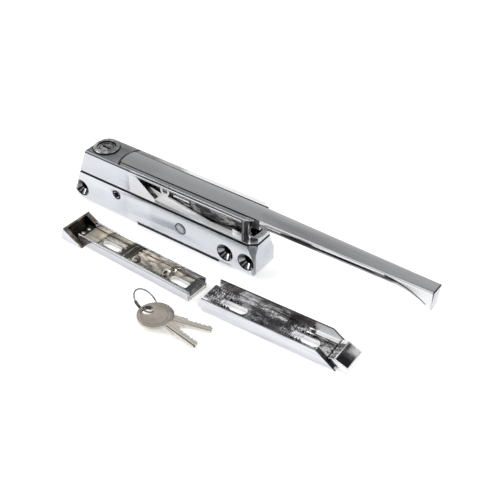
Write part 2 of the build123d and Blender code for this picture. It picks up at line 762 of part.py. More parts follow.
# Lock barrel, grooved for its clip
with BuildPart() as lock_barrel:
    bore_down(LOCK_X, barrel_top, BARREL_FOOT, BARREL, mode=Mode.ADD)
    bore_down(LOCK_X, barrel_top + 1, BARREL_FOOT - 1, PLUG + 2 * PIN_FIT)
    with BuildSketch(level(clip_foot - PIN_FIT)):
        with Locations((LOCK_X, MID)):
            Circle(BARREL / 2 + 1)
            Circle(BARREL / 2 - CLIP_BITE, mode=Mode.SUBTRACT)
    extrude(amount=CLIP_THICK + 2 * PIN_FIT, mode=Mode.SUBTRACT)
lock_barrel.part.label = "lock_barrel"

# Plug with its keyway, squared below for the cam
with BuildPart() as lock_plug:
    bore_down(LOCK_X, plug_top, cam_top + PIN_FIT, PLUG, mode=Mode.ADD)
    with BuildSketch(level(cam_foot + PIN_FIT)):
        with Locations((LOCK_X, MID)):
            Rectangle(CAM_SQUARE, CAM_SQUARE)
    extrude(amount=CAM_THICK)
    with BuildSketch(level(plug_top - KEYWAY_DEPTH)):
        with Locations((LOCK_X, MID)):
            SlotOverall(KEYWAY_LENGTH, KEYWAY_WIDTH)
    extrude(amount=KEYWAY_DEPTH + 1, mode=Mode.SUBTRACT)
    bore_down(LOCK_X, cam_foot + CAM_SCREW_HEAD, cam_foot - 1, CAM_SCREW)
lock_plug.part.label = "lock_plug"

# Cam that turns under the handle's tail and blocks it
with BuildPart() as lock_cam:
    with BuildSketch(level(cam_foot)):
        with Locations((LOCK_X, MID)):
            Circle(CAM_WIDTH / 2)
            Rectangle(CAM_WIDTH, CAM_REACH, align=(Align.CENTER, Align.MIN))
            Rectangle(CAM_SQUARE + 2 * PIN_FIT, CAM_SQUARE + 2 * PIN_FIT, mode=Mode.SUBTRACT)
    extrude(amount=CAM_THICK)
    tip_edges = lock_cam.edges().filter_by(Axis.Z).group_by(Axis.Y)[-1]
    fillet(tip_edges, CAM_WIDTH / 4)
lock_cam.part.label = "lock_cam"

# Screw that holds the cam on the plug
with BuildPart() as cam_screw:
    bore_down(LOCK_X, cam_foot + CAM_SCREW_HEAD - 1, cam_foot, CAM_SCREW - PIN_FIT, mode=Mode.ADD)
    bore_down(LOCK_X, cam_foot, cam_foot - CAM_SCREW_HEAD_HEIGHT, CAM_SCREW_HEAD, mode=Mode.ADD)
    with BuildSketch(level(cam_foot - CAM_SCREW_HEAD_HEIGHT)):
        with Locations((LOCK_X, MID)):
            Rectangle(CAM_SCREW_HEAD + 1, EDGE * 2)
    extrude(amount=EDGE * 2, mode=Mode.SUBTRACT)
cam_screw.part.label = "cam_screw"

# Open spring clip in the barrel's groove, its mouth towards the handle
with BuildPart() as lock_clip:
    with BuildSketch(level(clip_foot)):
        with Locations((LOCK_X, MID)):
            Circle(BARREL / 2 + CLIP_RIM)
            Circle(BARREL / 2 - CLIP_BITE + PIN_FIT, mode=Mode.SUBTRACT)
        with BuildLine():
            mouth = radians(CLIP_MOUTH)
            mouth_far = (LOCK_X + BARREL * cos(mouth), BARREL * sin(mouth))
            Polyline(
                (LOCK_X, MID),
                (mouth_far[0], MID + mouth_far[1]),
                (mouth_far[0] + BARREL, MID),
                (mouth_far[0], MID - mouth_far[1]),
                close=True,
            )
        make_face(mode=Mode.SUBTRACT)
    extrude(amount=CLIP_THICK)
lock_clip.part.label = "lock_clip"


def kit_plane(x, y, turn):
    """Table plane of a loose piece, placed by the latch's front left corner and turned in degrees."""
    along = Vector(cos(radians(turn)), sin(radians(turn)), 0)
    return Plane(origin=(LATCH.X + x, LATCH.Y + y, 0), x_dir=along, z_dir=(0, 0, 1))


def turned(plane, angle):
    """The same plane, its x axis turned by an angle in degrees about its normal."""
    along = plane.x_dir * cos(radians(angle)) + plane.y_dir * sin(radians(angle))
    return Plane(origin=plane.origin, x_dir=along, z_dir=plane.z_dir)


def dipped(plane, angle):
    """The same plane, its x axis tipped down by an angle in degrees about its y axis."""
    along = plane.x_dir * cos(radians(angle)) - plane.z_dir * sin(radians(angle))
    return Plane(origin=plane.origin, x_dir=along, z_dir=along.cross(plane.y_dir))


def kit_side(table, depth):
    """Upright plane along a loose piece, at a depth behind its front; local y is height."""
    return Plane(origin=table.origin + table.y_dir * depth, x_dir=table.x_dir, z_dir=-table.y_dir)


def kit_cross(table, distance):
    """Plane across a loose piece at a distance from its left end; local x is depth, local y is height."""
    return Plane(origin=table.origin + table.x_dir * distance, x_dir=table.y_dir, z_dir=table.x_dir)


def kit_prism(table, points, y, mode=Mode.ADD):
    """Add or cut a prism across a loose piece, from its side outline and its low and high depth."""
    with BuildSketch(kit_side(table, y[0])) as outline:
        with BuildLine():
            Polyline(*points, close=True)
        make_face()
    extrude(outline.sketch, amount=-(y[1] - y[0]), mode=mode)


def kit_box(table, x, y, z, mode=Mode.ADD):
    """Add or cut a box in a loose piece, by its low and high limits along the piece's own axes."""
    kit_prism(table, ((x[0], z[0]), (x[1], z[0]), (x[1], z[1]), (x[0], z[1])), y, mode)


def kit_bore(table, x, y, z, diameter, mode=Mode.SUBTRACT):
    """Cut or add a round upright hole or pin in a loose piece."""
    with BuildSketch(table.offset(z[0])) as section:
        with Locations((x, y)):
            Circle(diameter / 2)
    extrude(section.sketch, amount=z[1] - z[0], mode=mode)


def kit_slots(table, left, spacing, line, length, width, top):
    """Cut a pair of screw slots through the floor of a strike."""
    with BuildSketch(table.offset(-1)) as slots:
        with Locations((left, line), (left + spacing, line)):
            SlotOverall(length, width)
    extrude(slots.sketch, amount=top + 1, mode=Mode.SUBTRACT)


def folded_channel(table, length, width, height):
    """Add a strike's folded channel, open at the top and at both ends."""
    with BuildSketch(kit_cross(table, 0)) as section:
        with Locations((width / 2, height / 2)):
            Rectangle(width, height)
        with Locations((width / 2, height / 2 + STRIKE_WALL)):
            Rectangle(width - 2 * STRIKE_WALL, height, mode=Mode.SUBTRACT)
    extrude(section.sketch, amount=length)


strike_a = kit_plane(STRIKE_A_X, STRIKE_A_Y, STRIKE_A_TURN)
strike_a_line = STRIKE_A_WIDTH / 2
floor_a_top = STRIKE_WALL + FLOOR_A_THICK
plate_inset = STRIKE_WALL + FIT
slot_play = 2 * FIT

# Left strike's channel
with BuildPart() as strike_a_channel:
    folded_channel(strike_a, STRIKE_A_LENGTH, STRIKE_A_WIDTH, STRIKE_A_HEIGHT)
    slot_a_size = (SLOT_A_LENGTH, SLOT_A_WIDTH, STRIKE_A_HEIGHT)
    kit_slots(strike_a, SLOT_A_LEFT, SLOT_A_SPACING, strike_a_line, *slot_a_size)
    for eyelet_x, eyelet_y, eyelet_size in EYELETS:
        kit_bore(strike_a, eyelet_x, eyelet_y, (-1, STRIKE_A_HEIGHT), eyelet_size / 2 + FIT)
strike_a_channel.part.label = "strike_a_channel"

# Left strike's cast floor, with its slots and cross ribs
with BuildPart() as strike_a_floor:
    kit_box(
        strike_a,
        (FIT, STRIKE_A_LENGTH - FIT),
        (plate_inset, STRIKE_A_WIDTH - plate_inset),
        (STRIKE_WALL, floor_a_top),
    )
    for index in range(RIB_A_COUNT):
        rib_x = RIB_A_START + index * RIB_A_PITCH
        kit_prism(
            strike_a,
            (
                (rib_x, floor_a_top),
                (rib_x + RIB_A_PITCH, floor_a_top),
                (rib_x + RIB_A_PITCH / 2, floor_a_top + RIB_A_HEIGHT),
            ),
            (plate_inset, STRIKE_A_WIDTH - plate_inset),
        )
    kit_box(
        strike_a,
        (FLOOR_A_SEAM, FLOOR_A_SEAM + EDGE),
        (0, STRIKE_A_WIDTH),
        (floor_a_top - EDGE, STRIKE_A_HEIGHT),
        mode=Mode.SUBTRACT,
    )
    kit_slots(
        strike_a, SLOT_A_LEFT, SLOT_A_SPACING, strike_a_line,
        SLOT_A_LENGTH - slot_play, SLOT_A_WIDTH - slot_play, STRIKE_A_HEIGHT,
    )
    for eyelet_x, eyelet_y, eyelet_size in EYELETS:
        kit_bore(strike_a, eyelet_x, eyelet_y, (-1, STRIKE_A_HEIGHT), eyelet_size / 2 + FIT)
strike_a_floor.part.label = "strike_a_floor"

# Eyelets that rivet the cast floor into the channel
with BuildPart() as strike_a_eyelets:
    for eyelet_x, eyelet_y, eyelet_size in EYELETS:
        kit_bore(strike_a, eyelet_x, eyelet_y, (0, floor_a_top + EYELET_RISE), eyelet_size / 2, mode=Mode.ADD)
        kit_bore(
            strike_a, eyelet_x, eyelet_y, (floor_a_top, floor_a_top + EYELET_RISE), eyelet_size, mode=Mode.ADD
        )
        kit_bore(strike_a, eyelet_x, eyelet_y, (-1, STRIKE_A_HEIGHT), eyelet_size / 2 - 2 * EYELET_WALL)
strike_a_eyelets.part.label = "strike_a_eyelets"

# Ribbed stop block at the left strike's open end
with BuildPart() as strike_a_stop:
    kit_box(
        strike_a,
        (STRIKE_A_LENGTH - FIT - BLOCK_A_LENGTH, STRIKE_A_LENGTH - FIT),
        (plate_inset, STRIKE_A_WIDTH - plate_inset),
        (floor_a_top, floor_a_top + BLOCK_A_HEIGHT),
    )
    groove_pitch = BLOCK_A_LENGTH / BLOCK_A_GROOVES
    for index in range(BLOCK_A_GROOVES):
        groove_x = STRIKE_A_LENGTH - FIT - (index + 0.75) * groove_pitch
        kit_box(
            strike_a,
            (groove_x, groove_x + groove_pitch / 2),
            (0, STRIKE_A_WIDTH),
            (floor_a_top + BLOCK_A_HEIGHT - EDGE, STRIKE_A_HEIGHT),
            mode=Mode.SUBTRACT,
        )
strike_a_stop.part.label = "strike_a_stop"

# Hood over the left strike's other end: a leaning plate between two wedge-shaped cheeks
hood_front = -FIT - HOOD_WALL
hood_back = STRIKE_A_WIDTH + FIT + HOOD_WALL
hood_top_x = -HOOD_REACH + HOOD_LEAN
hood_side = ((-HOOD_REACH, 0), (HOOD_FOOT, 0), (hood_top_x, HOOD_HEIGHT))
with BuildPart() as strike_a_hood:
    kit_prism(strike_a, hood_side, (hood_front, hood_back))
    kit_prism(
        strike_a,
        (
            (-HOOD_REACH + HOOD_PLATE, HOOD_FLOOR),
            (HOOD_FOOT, HOOD_FLOOR),
            (HOOD_FOOT, HOOD_HEIGHT),
            (hood_top_x + HOOD_PLATE, HOOD_HEIGHT),
        ),
        (-FIT, STRIKE_A_WIDTH + FIT),
        mode=Mode.SUBTRACT,
    )
    kit_box(
        strike_a,
        (-FIT, HOOD_FOOT + 1),
        (-FIT, STRIKE_A_WIDTH + FIT),
        (-1, HOOD_HEIGHT),
        mode=Mode.SUBTRACT,
    )
    for hood_hole_y in (strike_a_line, strike_a_line + 2 * HOOD_HOLE):
        kit_bore(strike_a, -HOOD_REACH / 3, hood_hole_y, (-1, HOOD_HEIGHT), HOOD_HOLE)
strike_a_hood.part.label = "strike_a_hood"

strike_b = kit_plane(STRIKE_B_X, STRIKE_B_Y, STRIKE_B_TURN)
plate_b_top = STRIKE_WALL + PLATE_B_THICK

# Right strike's channel, its walls cut down on a slant at the nose
with BuildPart() as strike_b_channel:
    folded_channel(strike_b, STRIKE_B_LENGTH, STRIKE_B_WIDTH, STRIKE_B_HEIGHT)
    kit_prism(
        strike_b,
        (
            (STRIKE_B_LENGTH - STRIKE_B_CUT, STRIKE_B_HEIGHT),
            (STRIKE_B_LENGTH - EDGE, 0),
            (STRIKE_B_LENGTH + 1, 0),
            (STRIKE_B_LENGTH + 1, STRIKE_B_HEIGHT + 1),
            (STRIKE_B_LENGTH - STRIKE_B_CUT, STRIKE_B_HEIGHT + 1),
        ),
        (-1, STRIKE_B_WIDTH + 1),
        mode=Mode.SUBTRACT,
    )
    kit_box(
        strike_b,
        (STRIKE_B_FLOOR_LENGTH, STRIKE_B_LENGTH + 1),
        (STRIKE_WALL, STRIKE_B_WIDTH - STRIKE_WALL),
        (-1, STRIKE_B_HEIGHT),
        mode=Mode.SUBTRACT,
    )
    slot_b_size = (SLOT_B_LENGTH, SLOT_B_WIDTH, STRIKE_B_HEIGHT)
    kit_slots(strike_b, SLOT_B_LEFT, SLOT_B_SPACING, SLOT_B_LINE, *slot_b_size)
strike_b_channel.part.label = "strike_b_channel"

# Right strike's plate: two slots, teeth that grip beside them and two long ribs
with BuildPart() as strike_b_plate:
    kit_box(
        strike_b,
        (-PLATE_B_TONGUE, PLATE_B_LENGTH),
        (plate_inset, STRIKE_B_WIDTH - plate_inset),
        (STRIKE_WALL, plate_b_top),
    )
    for slot_x in (SLOT_B_LEFT, SLOT_B_LEFT + SLOT_B_SPACING):
        for index in range(TOOTH_COUNT):
            tooth_x = slot_x - SLOT_B_LENGTH / 2 - TEETH_LEAD + index * TOOTH_PITCH
            kit_prism(
                strike_b,
                (
                    (tooth_x, plate_b_top - EDGE),
                    (tooth_x + TOOTH_PITCH, plate_b_top - EDGE),
                    (tooth_x + TOOTH_PITCH / 2, plate_b_top + TOOTH_HEIGHT),
                ),
                (plate_inset + EDGE, STRIKE_B_WIDTH - plate_inset - EDGE),
            )
    for index in range(2):
        rib_y = STRIKE_B_WIDTH - plate_inset - (index + 0.5) * RIB_B_PITCH
        with BuildSketch(kit_cross(strike_b, PLATE_B_LENGTH - RIB_B_LENGTH)):
            with Locations((rib_y, plate_b_top)):
                Circle(RIB_B_RADIUS)
        extrude(amount=RIB_B_LENGTH)
    kit_slots(
        strike_b, SLOT_B_LEFT, SLOT_B_SPACING, SLOT_B_LINE,
        SLOT_B_LENGTH - slot_play, SLOT_B_WIDTH - slot_play, STRIKE_B_HEIGHT,
    )
strike_b_plate.part.label = "strike_b_plate"

# Ramped nose that leads the latch onto the right strike
nose_front = (STRIKE_B_WIDTH - NOSE_WIDTH) / 2
nose_back = nose_front + NOSE_WIDTH
nose_start = STRIKE_B_FLOOR_LENGTH + FIT
ramp_angle = atan2(NOSE_PEAK - NOSE_END_HEIGHT, NOSE_END - NOSE_PEAK_X)
ramp_length = (NOSE_END - NOSE_PEAK_X) / cos(ramp_angle)
ramp_along = strike_b.x_dir * cos(ramp_angle) - strike_b.z_dir * sin(ramp_angle)
ramp_middle = (
    strike_b.origin
    + strike_b.x_dir * (NOSE_PEAK_X + NOSE_END) / 2
    + strike_b.y_dir * STRIKE_B_WIDTH / 2
    + strike_b.z_dir * (NOSE_PEAK + NOSE_END_HEIGHT) / 2
)
ramp = Plane(origin=ramp_middle, x_dir=ramp_along, z_dir=ramp_along.cross(strike_b.y_dir))
with BuildPart() as strike_b_nose:
    kit_prism(
        strike_b,
        (
            (nose_start, 0),
            (nose_start, NOSE_PEAK - NOSE_SHELL),
            (NOSE_PEAK_X, NOSE_PEAK),
            (NOSE_END, NOSE_END_HEIGHT),
            (NOSE_END, 0),
        ),
        (nose_front, nose_back),
    )
    kit_prism(
        strike_b,
        (
            (nose_start + NOSE_SHELL, -1),
            (nose_start + NOSE_SHELL, NOSE_PEAK - 3 * NOSE_SHELL),
            (NOSE_PEAK_X, NOSE_PEAK - 2 * NOSE_SHELL),
            (NOSE_END - NOSE_SHELL, NOSE_END_HEIGHT - 2 * NOSE_SHELL),
            (NOSE_END - NOSE_SHELL, -1),
        ),
        (nose_front + NOSE_SHELL, nose_back - NOSE_SHELL),
        mode=Mode.SUBTRACT,
    )
    with BuildSketch(ramp.offset(-PAD_THICK)):
        Rectangle(ramp_length - 2 * PAD_RIM, NOSE_WIDTH - 2 * PAD_RIM)
    extrude(amount=2 * PAD_THICK, mode=Mode.SUBTRACT)
strike_b_nose.part.label = "strike_b_nose"

# Black pad let into the ramp
with BuildPart() as strike_b_pad:
    with BuildSketch(ramp.offset(-PAD_THICK)):
        Rectangle(ramp_length - 2 * PAD_RIM - FIT, NOSE_WIDTH - 2 * PAD_RIM - FIT)
    extrude(amount=PAD_THICK)
strike_b_pad.part.label = "strike_b_pad"

# The ring leans on the table, and where it passes the keys' holes sets their height and slope
fall_turn = radians(RING_FALL_TURN)
fall_tilt = radians(RING_TILT)
ring_fall = Vector(cos(fall_turn) * cos(fall_tilt), sin(fall_turn) * cos(fall_tilt), -sin(fall_tilt))
ring_level = Vector(-sin(fall_turn), cos(fall_turn), 0)
ring_height = RING_RADIUS * sin(fall_tilt) + RING_WIRE / 2


def ring_outward(angle):
    """Direction from the ring's centre at an angle round it, counted from its lowest point."""
    return ring_fall * cos(radians(angle)) - ring_level * sin(radians(angle))


key_middle = KEY_THICK + KEY_GAP / 2
key_hole_height = ring_height + RING_RADIUS * ring_outward(RING_KEY_ANGLE).Z
key_dip = degrees(atan2(key_hole_height - key_middle, KEY_LENGTH))
key_rise = key_hole_height - key_middle * cos(radians(key_dip))
key_upper_turn = KEY_MEAN_TURN - KEY_SPREAD_ANGLE / 2
key_hole_y = KEY_BOW / 2 - KIT_DEPTH / 2 - KEY_HOLE_OFFSET * sin(radians(key_upper_turn)) - LATCH.Y
key_stack = dipped(kit_plane(KEY_HOLE_X, key_hole_y, KEY_MEAN_TURN).offset(key_rise), key_dip)


def key_solid(turn, height):
    """Add one key, whose ring hole is at the stack's origin, turned and raised in the stack."""
    plane = turned(key_stack, turn).offset(height)
    half_blade = KEY_BLADE / 2
    with BuildSketch(plane) as outline:
        with Locations((KEY_HOLE_OFFSET, 0)):
            Circle(KEY_BOW / 2)
        with Locations(((KEY_NECK_END + KEY_HOLE_OFFSET) / 2, 0)):
            Rectangle(KEY_NECK_END - KEY_HOLE_OFFSET, KEY_NECK)
        with BuildLine():
            Polyline(
                (KEY_HOLE_OFFSET, half_blade),
                (KEY_LENGTH - KEY_TIP, half_blade),
                (KEY_LENGTH, half_blade - KEY_TIP),
                (KEY_LENGTH, KEY_TIP - half_blade),
                (KEY_LENGTH - KEY_TIP, -half_blade),
                (KEY_HOLE_OFFSET, -half_blade),
                close=True,
            )
        make_face()
        Circle(KEY_HOLE / 2, mode=Mode.SUBTRACT)
        for index in range(KEY_NOTCH_COUNT):
            notch_x = KEY_NECK_END + (index + 0.5) * KEY_NOTCH_PITCH
            notch_depth = KEY_NOTCH_DEPTH * (1 + (index * 3 % KEY_NOTCH_COUNT) / KEY_NOTCH_COUNT)
            with BuildLine():
                Polyline(
                    (notch_x - notch_depth, half_blade),
                    (notch_x, half_blade - notch_depth),
                    (notch_x + notch_depth, half_blade),
                    close=True,
                )
            make_face(mode=Mode.SUBTRACT)
    extrude(outline.sketch, amount=KEY_THICK)
    groove_start = KEY_HOLE_OFFSET + KEY_BOW / 2
    groove_end = KEY_LENGTH + KEY_THICK
    for groove_level, groove_y in ((KEY_THICK, -KEY_BLADE / 4), (0, KEY_BLADE / 6)):
        with BuildSketch(plane.offset(groove_level)) as groove:
            with Locations(((groove_start + groove_end) / 2, groove_y)):
                Rectangle(groove_end - groove_start, KEY_GROOVE_WIDTH)
        extrude(groove.sketch, amount=KEY_GROOVE_DEPTH, both=True, mode=Mode.SUBTRACT)


with BuildPart() as key_lower:
    key_solid(KEY_SPREAD_ANGLE / 2, 0)
key_lower.part.label = "key_lower"

with BuildPart() as key_upper:
    key_solid(-KEY_SPREAD_ANGLE / 2, KEY_THICK + KEY_GAP)
key_upper.part.label = "key_upper"

# Ring through both keys
ring_centre = key_stack.offset(key_middle).origin - ring_outward(RING_KEY_ANGLE) * RING_RADIUS
ring_axis = Axis(ring_centre, ring_level.cross(ring_fall))


def ring_section(angle):
    """Plane square to the ring's wire, at an angle round it from its lowest point."""
    outward = ring_outward(angle)
    tangent = ring_axis.direction.cross(outward)
    return Plane(origin=ring_centre + outward * RING_RADIUS, x_dir=outward, z_dir=tangent)


with BuildPart() as key_ring:
    with BuildSketch(ring_section(0)):
        Circle(RING_WIRE / 2)
    revolve(axis=ring_axis)
key_ring.part.label = "key_ring"

# Crimped sleeve that joins the ring's ends
with BuildPart() as ring_sleeve:
    with BuildSketch(ring_section(SLEEVE_START_ANGLE)):
        Circle(RING_WIRE / 2 + SLEEVE_FIT + SLEEVE_WALL)
        Circle(RING_WIRE / 2 + SLEEVE_FIT, mode=Mode.SUBTRACT)
    revolve(axis=ring_axis, revolution_arc=SLEEVE_ARC_ANGLE)
ring_sleeve.part.label = "ring_sleeve"

latch_pieces = (
    base_body, split_gasket, upper_housing, top_plate, handle, pivot_pin, stop_pin, magnet_rivet,
    pole_plate_front, pole_plate_back, magnet_carrier, magnets, release_plunger, plunger_spring,
    case_screws, lock_bezel, lock_barrel, lock_plug, lock_cam, cam_screw, lock_clip,
)
strike_pieces = (
    strike_a_channel, strike_a_floor, strike_a_eyelets, strike_a_stop, strike_a_hood,
    strike_b_channel, strike_b_plate, strike_b_nose, strike_b_pad,
)
key_pieces = (key_lower, key_upper, key_ring, ring_sleeve)

os.makedirs("parts", exist_ok=True)
for piece in latch_pieces + strike_pieces + key_pieces:
    export_step(piece.part, "parts/" + piece.part.label + ".step")
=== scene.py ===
"""Looks of a magnetic door latch with its two strikes and two keys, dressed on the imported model.

Sizes are in millimetres on a piece's own axes and colours are linear, unless a line says otherwise.
"""

from __future__ import annotations

import json
import logging
import math
from collections.abc import Callable, Iterable
from dataclasses import dataclass, replace
from enum import Enum
from functools import partial

import bmesh
import bpy
from mathutils import Matrix, Vector

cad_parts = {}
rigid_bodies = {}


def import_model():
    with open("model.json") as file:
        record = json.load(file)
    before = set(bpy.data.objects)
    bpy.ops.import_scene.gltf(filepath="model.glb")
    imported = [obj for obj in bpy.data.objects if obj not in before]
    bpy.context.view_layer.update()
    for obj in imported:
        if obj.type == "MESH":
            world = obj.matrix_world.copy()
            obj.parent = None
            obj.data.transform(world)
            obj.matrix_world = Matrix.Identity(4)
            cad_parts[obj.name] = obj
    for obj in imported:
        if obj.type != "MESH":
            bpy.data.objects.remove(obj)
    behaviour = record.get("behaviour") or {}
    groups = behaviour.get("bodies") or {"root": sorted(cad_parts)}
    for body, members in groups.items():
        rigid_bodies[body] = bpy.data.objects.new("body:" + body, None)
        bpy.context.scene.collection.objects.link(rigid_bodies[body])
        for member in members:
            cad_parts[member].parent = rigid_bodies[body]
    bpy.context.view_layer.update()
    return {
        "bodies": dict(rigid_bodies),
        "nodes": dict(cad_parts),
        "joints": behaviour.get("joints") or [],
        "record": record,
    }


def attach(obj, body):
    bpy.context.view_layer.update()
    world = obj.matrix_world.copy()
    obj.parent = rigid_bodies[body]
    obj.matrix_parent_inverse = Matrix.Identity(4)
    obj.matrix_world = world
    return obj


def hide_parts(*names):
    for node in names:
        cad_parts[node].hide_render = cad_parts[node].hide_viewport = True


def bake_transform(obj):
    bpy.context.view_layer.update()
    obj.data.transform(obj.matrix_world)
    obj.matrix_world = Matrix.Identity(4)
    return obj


LOG = logging.getLogger("latch_kit")
MM = 0.001

Tone = tuple[float, float, float]
Span = tuple[float, float]
Socket = bpy.types.NodeSocket

ROUND_Y: Tone = (1, 0, 1)
ROUND_Z: Tone = (1, 1, 0)
# Limits that reach past both sides of the case or a strike
WIDE: Span = (-1, 21)
SEAM: Tone = (0.012, 0.012, 0.014)
# Near-black tones laid where shade falls: painted shade
PAINTED_SHADE_DEEP: Tone = (0.02, 0.02, 0.022)
PAINTED_SHADE_DIM: Tone = (0.03, 0.03, 0.032)
WHITE = (1.0, 1.0, 1.0, 1.0)
# A face looks along an axis when that part of its normal is larger than this
AIMED = 0.9
# Distances in metres below which points are one, for a shell and for thin wire
MERGE = 0.000002
MERGE_FINE = 0.000001
# Angles in radians: below the first a face counts as flat, above the second its edge is rounded
FLAT_ANGLE = 0.01
EDGE_ANGLE = 0.45


class Grain(Enum):
    """Which way a surface was brushed or ground, as noise scales per millimetre on its own axes."""

    EVEN = (1.6, 1.6, 1.6)
    ALONG = (0.02, 2.6, 2.6)
    ACROSS = (2.6, 0.02, 2.6)
    DOWN = (2.6, 2.6, 0.02)


@dataclass(frozen=True)
class Place:
    """Attributes:
        z: The same above the table.
        turn: Its turn about the upright, in degrees.
    """

    x: float = 0.0
    y: float = 0.0
    z: float = 0.0
    turn: float = 0.0

    def matrix(self) -> Matrix:
        """Matrix from the piece's own millimetres to the frame's metres."""
        shift = Matrix.Translation(Vector((self.x, self.y, self.z)) * MM)
        return shift @ Matrix.Rotation(math.radians(self.turn), 4, "Z") @ Matrix.Scale(MM, 4)

    def aim(self, direction: Vector) -> Vector:
        """A direction of the frame seen along the piece's own axes."""
        return Matrix.Rotation(math.radians(-self.turn), 3, "Z") @ direction


class Graph:
    """Adds and links the nodes of one material, world or mesh recipe."""

    def __init__(self, tree: bpy.types.NodeTree, prefix: str = "ShaderNode") -> None:
        """Start from an empty tree whose node types share a prefix.

        Args:
            tree: The node tree to fill.
            prefix: What its node types start with.
        """
        self.tree = tree
        self.prefix = prefix
        tree.nodes.clear()

    def add(self, kind: str, **settings: object) -> bpy.types.Node:
        """Add a node of a kind, named without the prefix or in full, and set its own properties.

        Args:
            kind: The node's type, without the prefix or in full.
            settings: Values of the node's own properties.

        Returns:
            The node.
        """
        known = kind.startswith(("ShaderNode", "NodeGroup"))
        node = self.tree.nodes.new(kind if known else self.prefix + kind)
        for name, value in settings.items():
            setattr(node, name, value)
        return node

    def feed(self, node: bpy.types.Node, **inputs: object) -> bpy.types.Node:
        """Set or link a node's inputs and give the node back.

        Args:
            node: The node to feed.
            inputs: Socket names, with underscores for spaces, or i0, i1 for a place in the list.

        Returns:
            The same node.
        """
        for name, value in inputs.items():
            key = int(name[1:]) if name[0] == "i" and name[1:].isdigit() else name.replace("_", " ")
            if isinstance(value, Socket):
                self.tree.links.new(value, node.inputs[key])
            else:
                node.inputs[key].default_value = value
        return node

    def own(self, place: Place) -> Socket:
        """Object coordinates in the millimetres of the own axes of a piece that lies at a place.

        Args:
            place: Where the piece lies.

        Returns:
            The coordinates.
        """
        spin = math.radians(-place.turn)
        start = Matrix.Rotation(spin, 3, "Z") @ Vector((-place.x, -place.y, -place.z))
        node = self.feed(self.add("Mapping"), Vector=self.add("TexCoord").outputs["Object"])
        self.feed(node, Location=start, Rotation=(0, 0, spin), Scale=(1 / MM, 1 / MM, 1 / MM))
        return node.outputs["Vector"]

    def noise(self, where: Socket, stretch: Tone, detail: float = 3.0) -> Socket:
        """Noise between 0 and 1, with its scale per millimetre along each axis and its octaves."""
        seat = self.vector("MULTIPLY", where, stretch)
        return self.feed(self.add("TexNoise"), Vector=seat, Scale=1.0, Detail=detail).outputs["Fac"]

    def span(self, value: Socket, start: Span, end: Span = (0, 1), smooth: bool = False) -> Socket:
        """Map a value's range onto another one, clamped, with eased ends if smooth.

        Args:
            value: What to map.
            start: Its range.
            end: The range that it gets.
            smooth: Whether the ends are eased.

        Returns:
            The mapped value.
        """
        node = self.add("MapRange", interpolation_type="SMOOTHSTEP" if smooth else "LINEAR")
        self.feed(node, Value=value, From_Min=start[0], From_Max=start[1], To_Min=end[0], To_Max=end[1])
        return node.outputs["Result"]

    def math(self, operation: str, *values: object) -> Socket:
        """A math node's result for one, two or three values."""
        node = self.add("ShaderNodeMath", operation=operation)
        return self.feed(node, **{f"i{index}": value for index, value in enumerate(values)}).outputs[0]

    def vector(self, operation: str, *values: object) -> Socket:
        """A vector math node's result, or its length.

        Args:
            operation: What the node does.
            values: The vectors or numbers that it takes.

        Returns:
            Its vector, or its number for a length.
        """
        node = self.add("VectorMath", operation=operation)
        self.feed(node, **{f"i{index}": value for index, value in enumerate(values)})
        return node.outputs["Value" if operation == "LENGTH" else "Vector"]

    def parts(self, value: Socket) -> bpy.types.bpy_prop_collection:
        """A vector's three parts."""
        return self.feed(self.add("SeparateXYZ"), Vector=value).outputs

    def blend(self, factor: object, first: object, second: object) -> Socket:
        """Mix two colours by a factor."""
        node = self.add("Mix", data_type="RGBA")
        return self.feed(node, i0=factor, i6=first, i7=second).outputs[2]

    def zoned(self, colour: Socket, zones: Iterable[Zone], where: Socket) -> Socket:
        """Lay the tones of zones over a colour.

        Args:
            colour: The colour below.
            zones: Patches and rims, the last one on top.
            where: The point, on the piece's own axes.

        Returns:
            The colour with the zones on it.
        """
        for zone in zones:
            colour = self.blend(zone.mask(self, where), colour, rgba(zone.tone))
        return colour

    def bump(self, height: Socket, depth: float, under: Socket | None = None) -> Socket:
        """Bend the normal, or the one under it, by a height between 0 and 1 that is some millimetres deep."""
        node = self.feed(self.add("Bump"), Strength=1.0, Distance=depth * MM, Height=height)
        return (self.feed(node, Normal=under) if under else node).outputs["Normal"]

    def shade(self, **inputs: object) -> None:
        """End a material in one plain shader."""
        shader = self.feed(self.add("BsdfPrincipled"), **inputs)
        self.feed(self.add("OutputMaterial"), Surface=shader.outputs["BSDF"])


def rgba(tone: Tone, gain: float = 1.0) -> tuple[float, float, float, float]:
    """A tone as a colour with full alpha, made lighter or darker by a gain."""
    return (tone[0] * gain, tone[1] * gain, tone[2] * gain, 1.0)


def opened(name: str) -> tuple[bpy.types.Material, Graph]:
    """A new material and its empty graph.

    Args:
        name: Name of the material.

    Returns:
        The material and the graph of its node tree.
    """
    material = bpy.data.materials.new(name)
    material.use_nodes = True
    return material, Graph(material.node_tree)


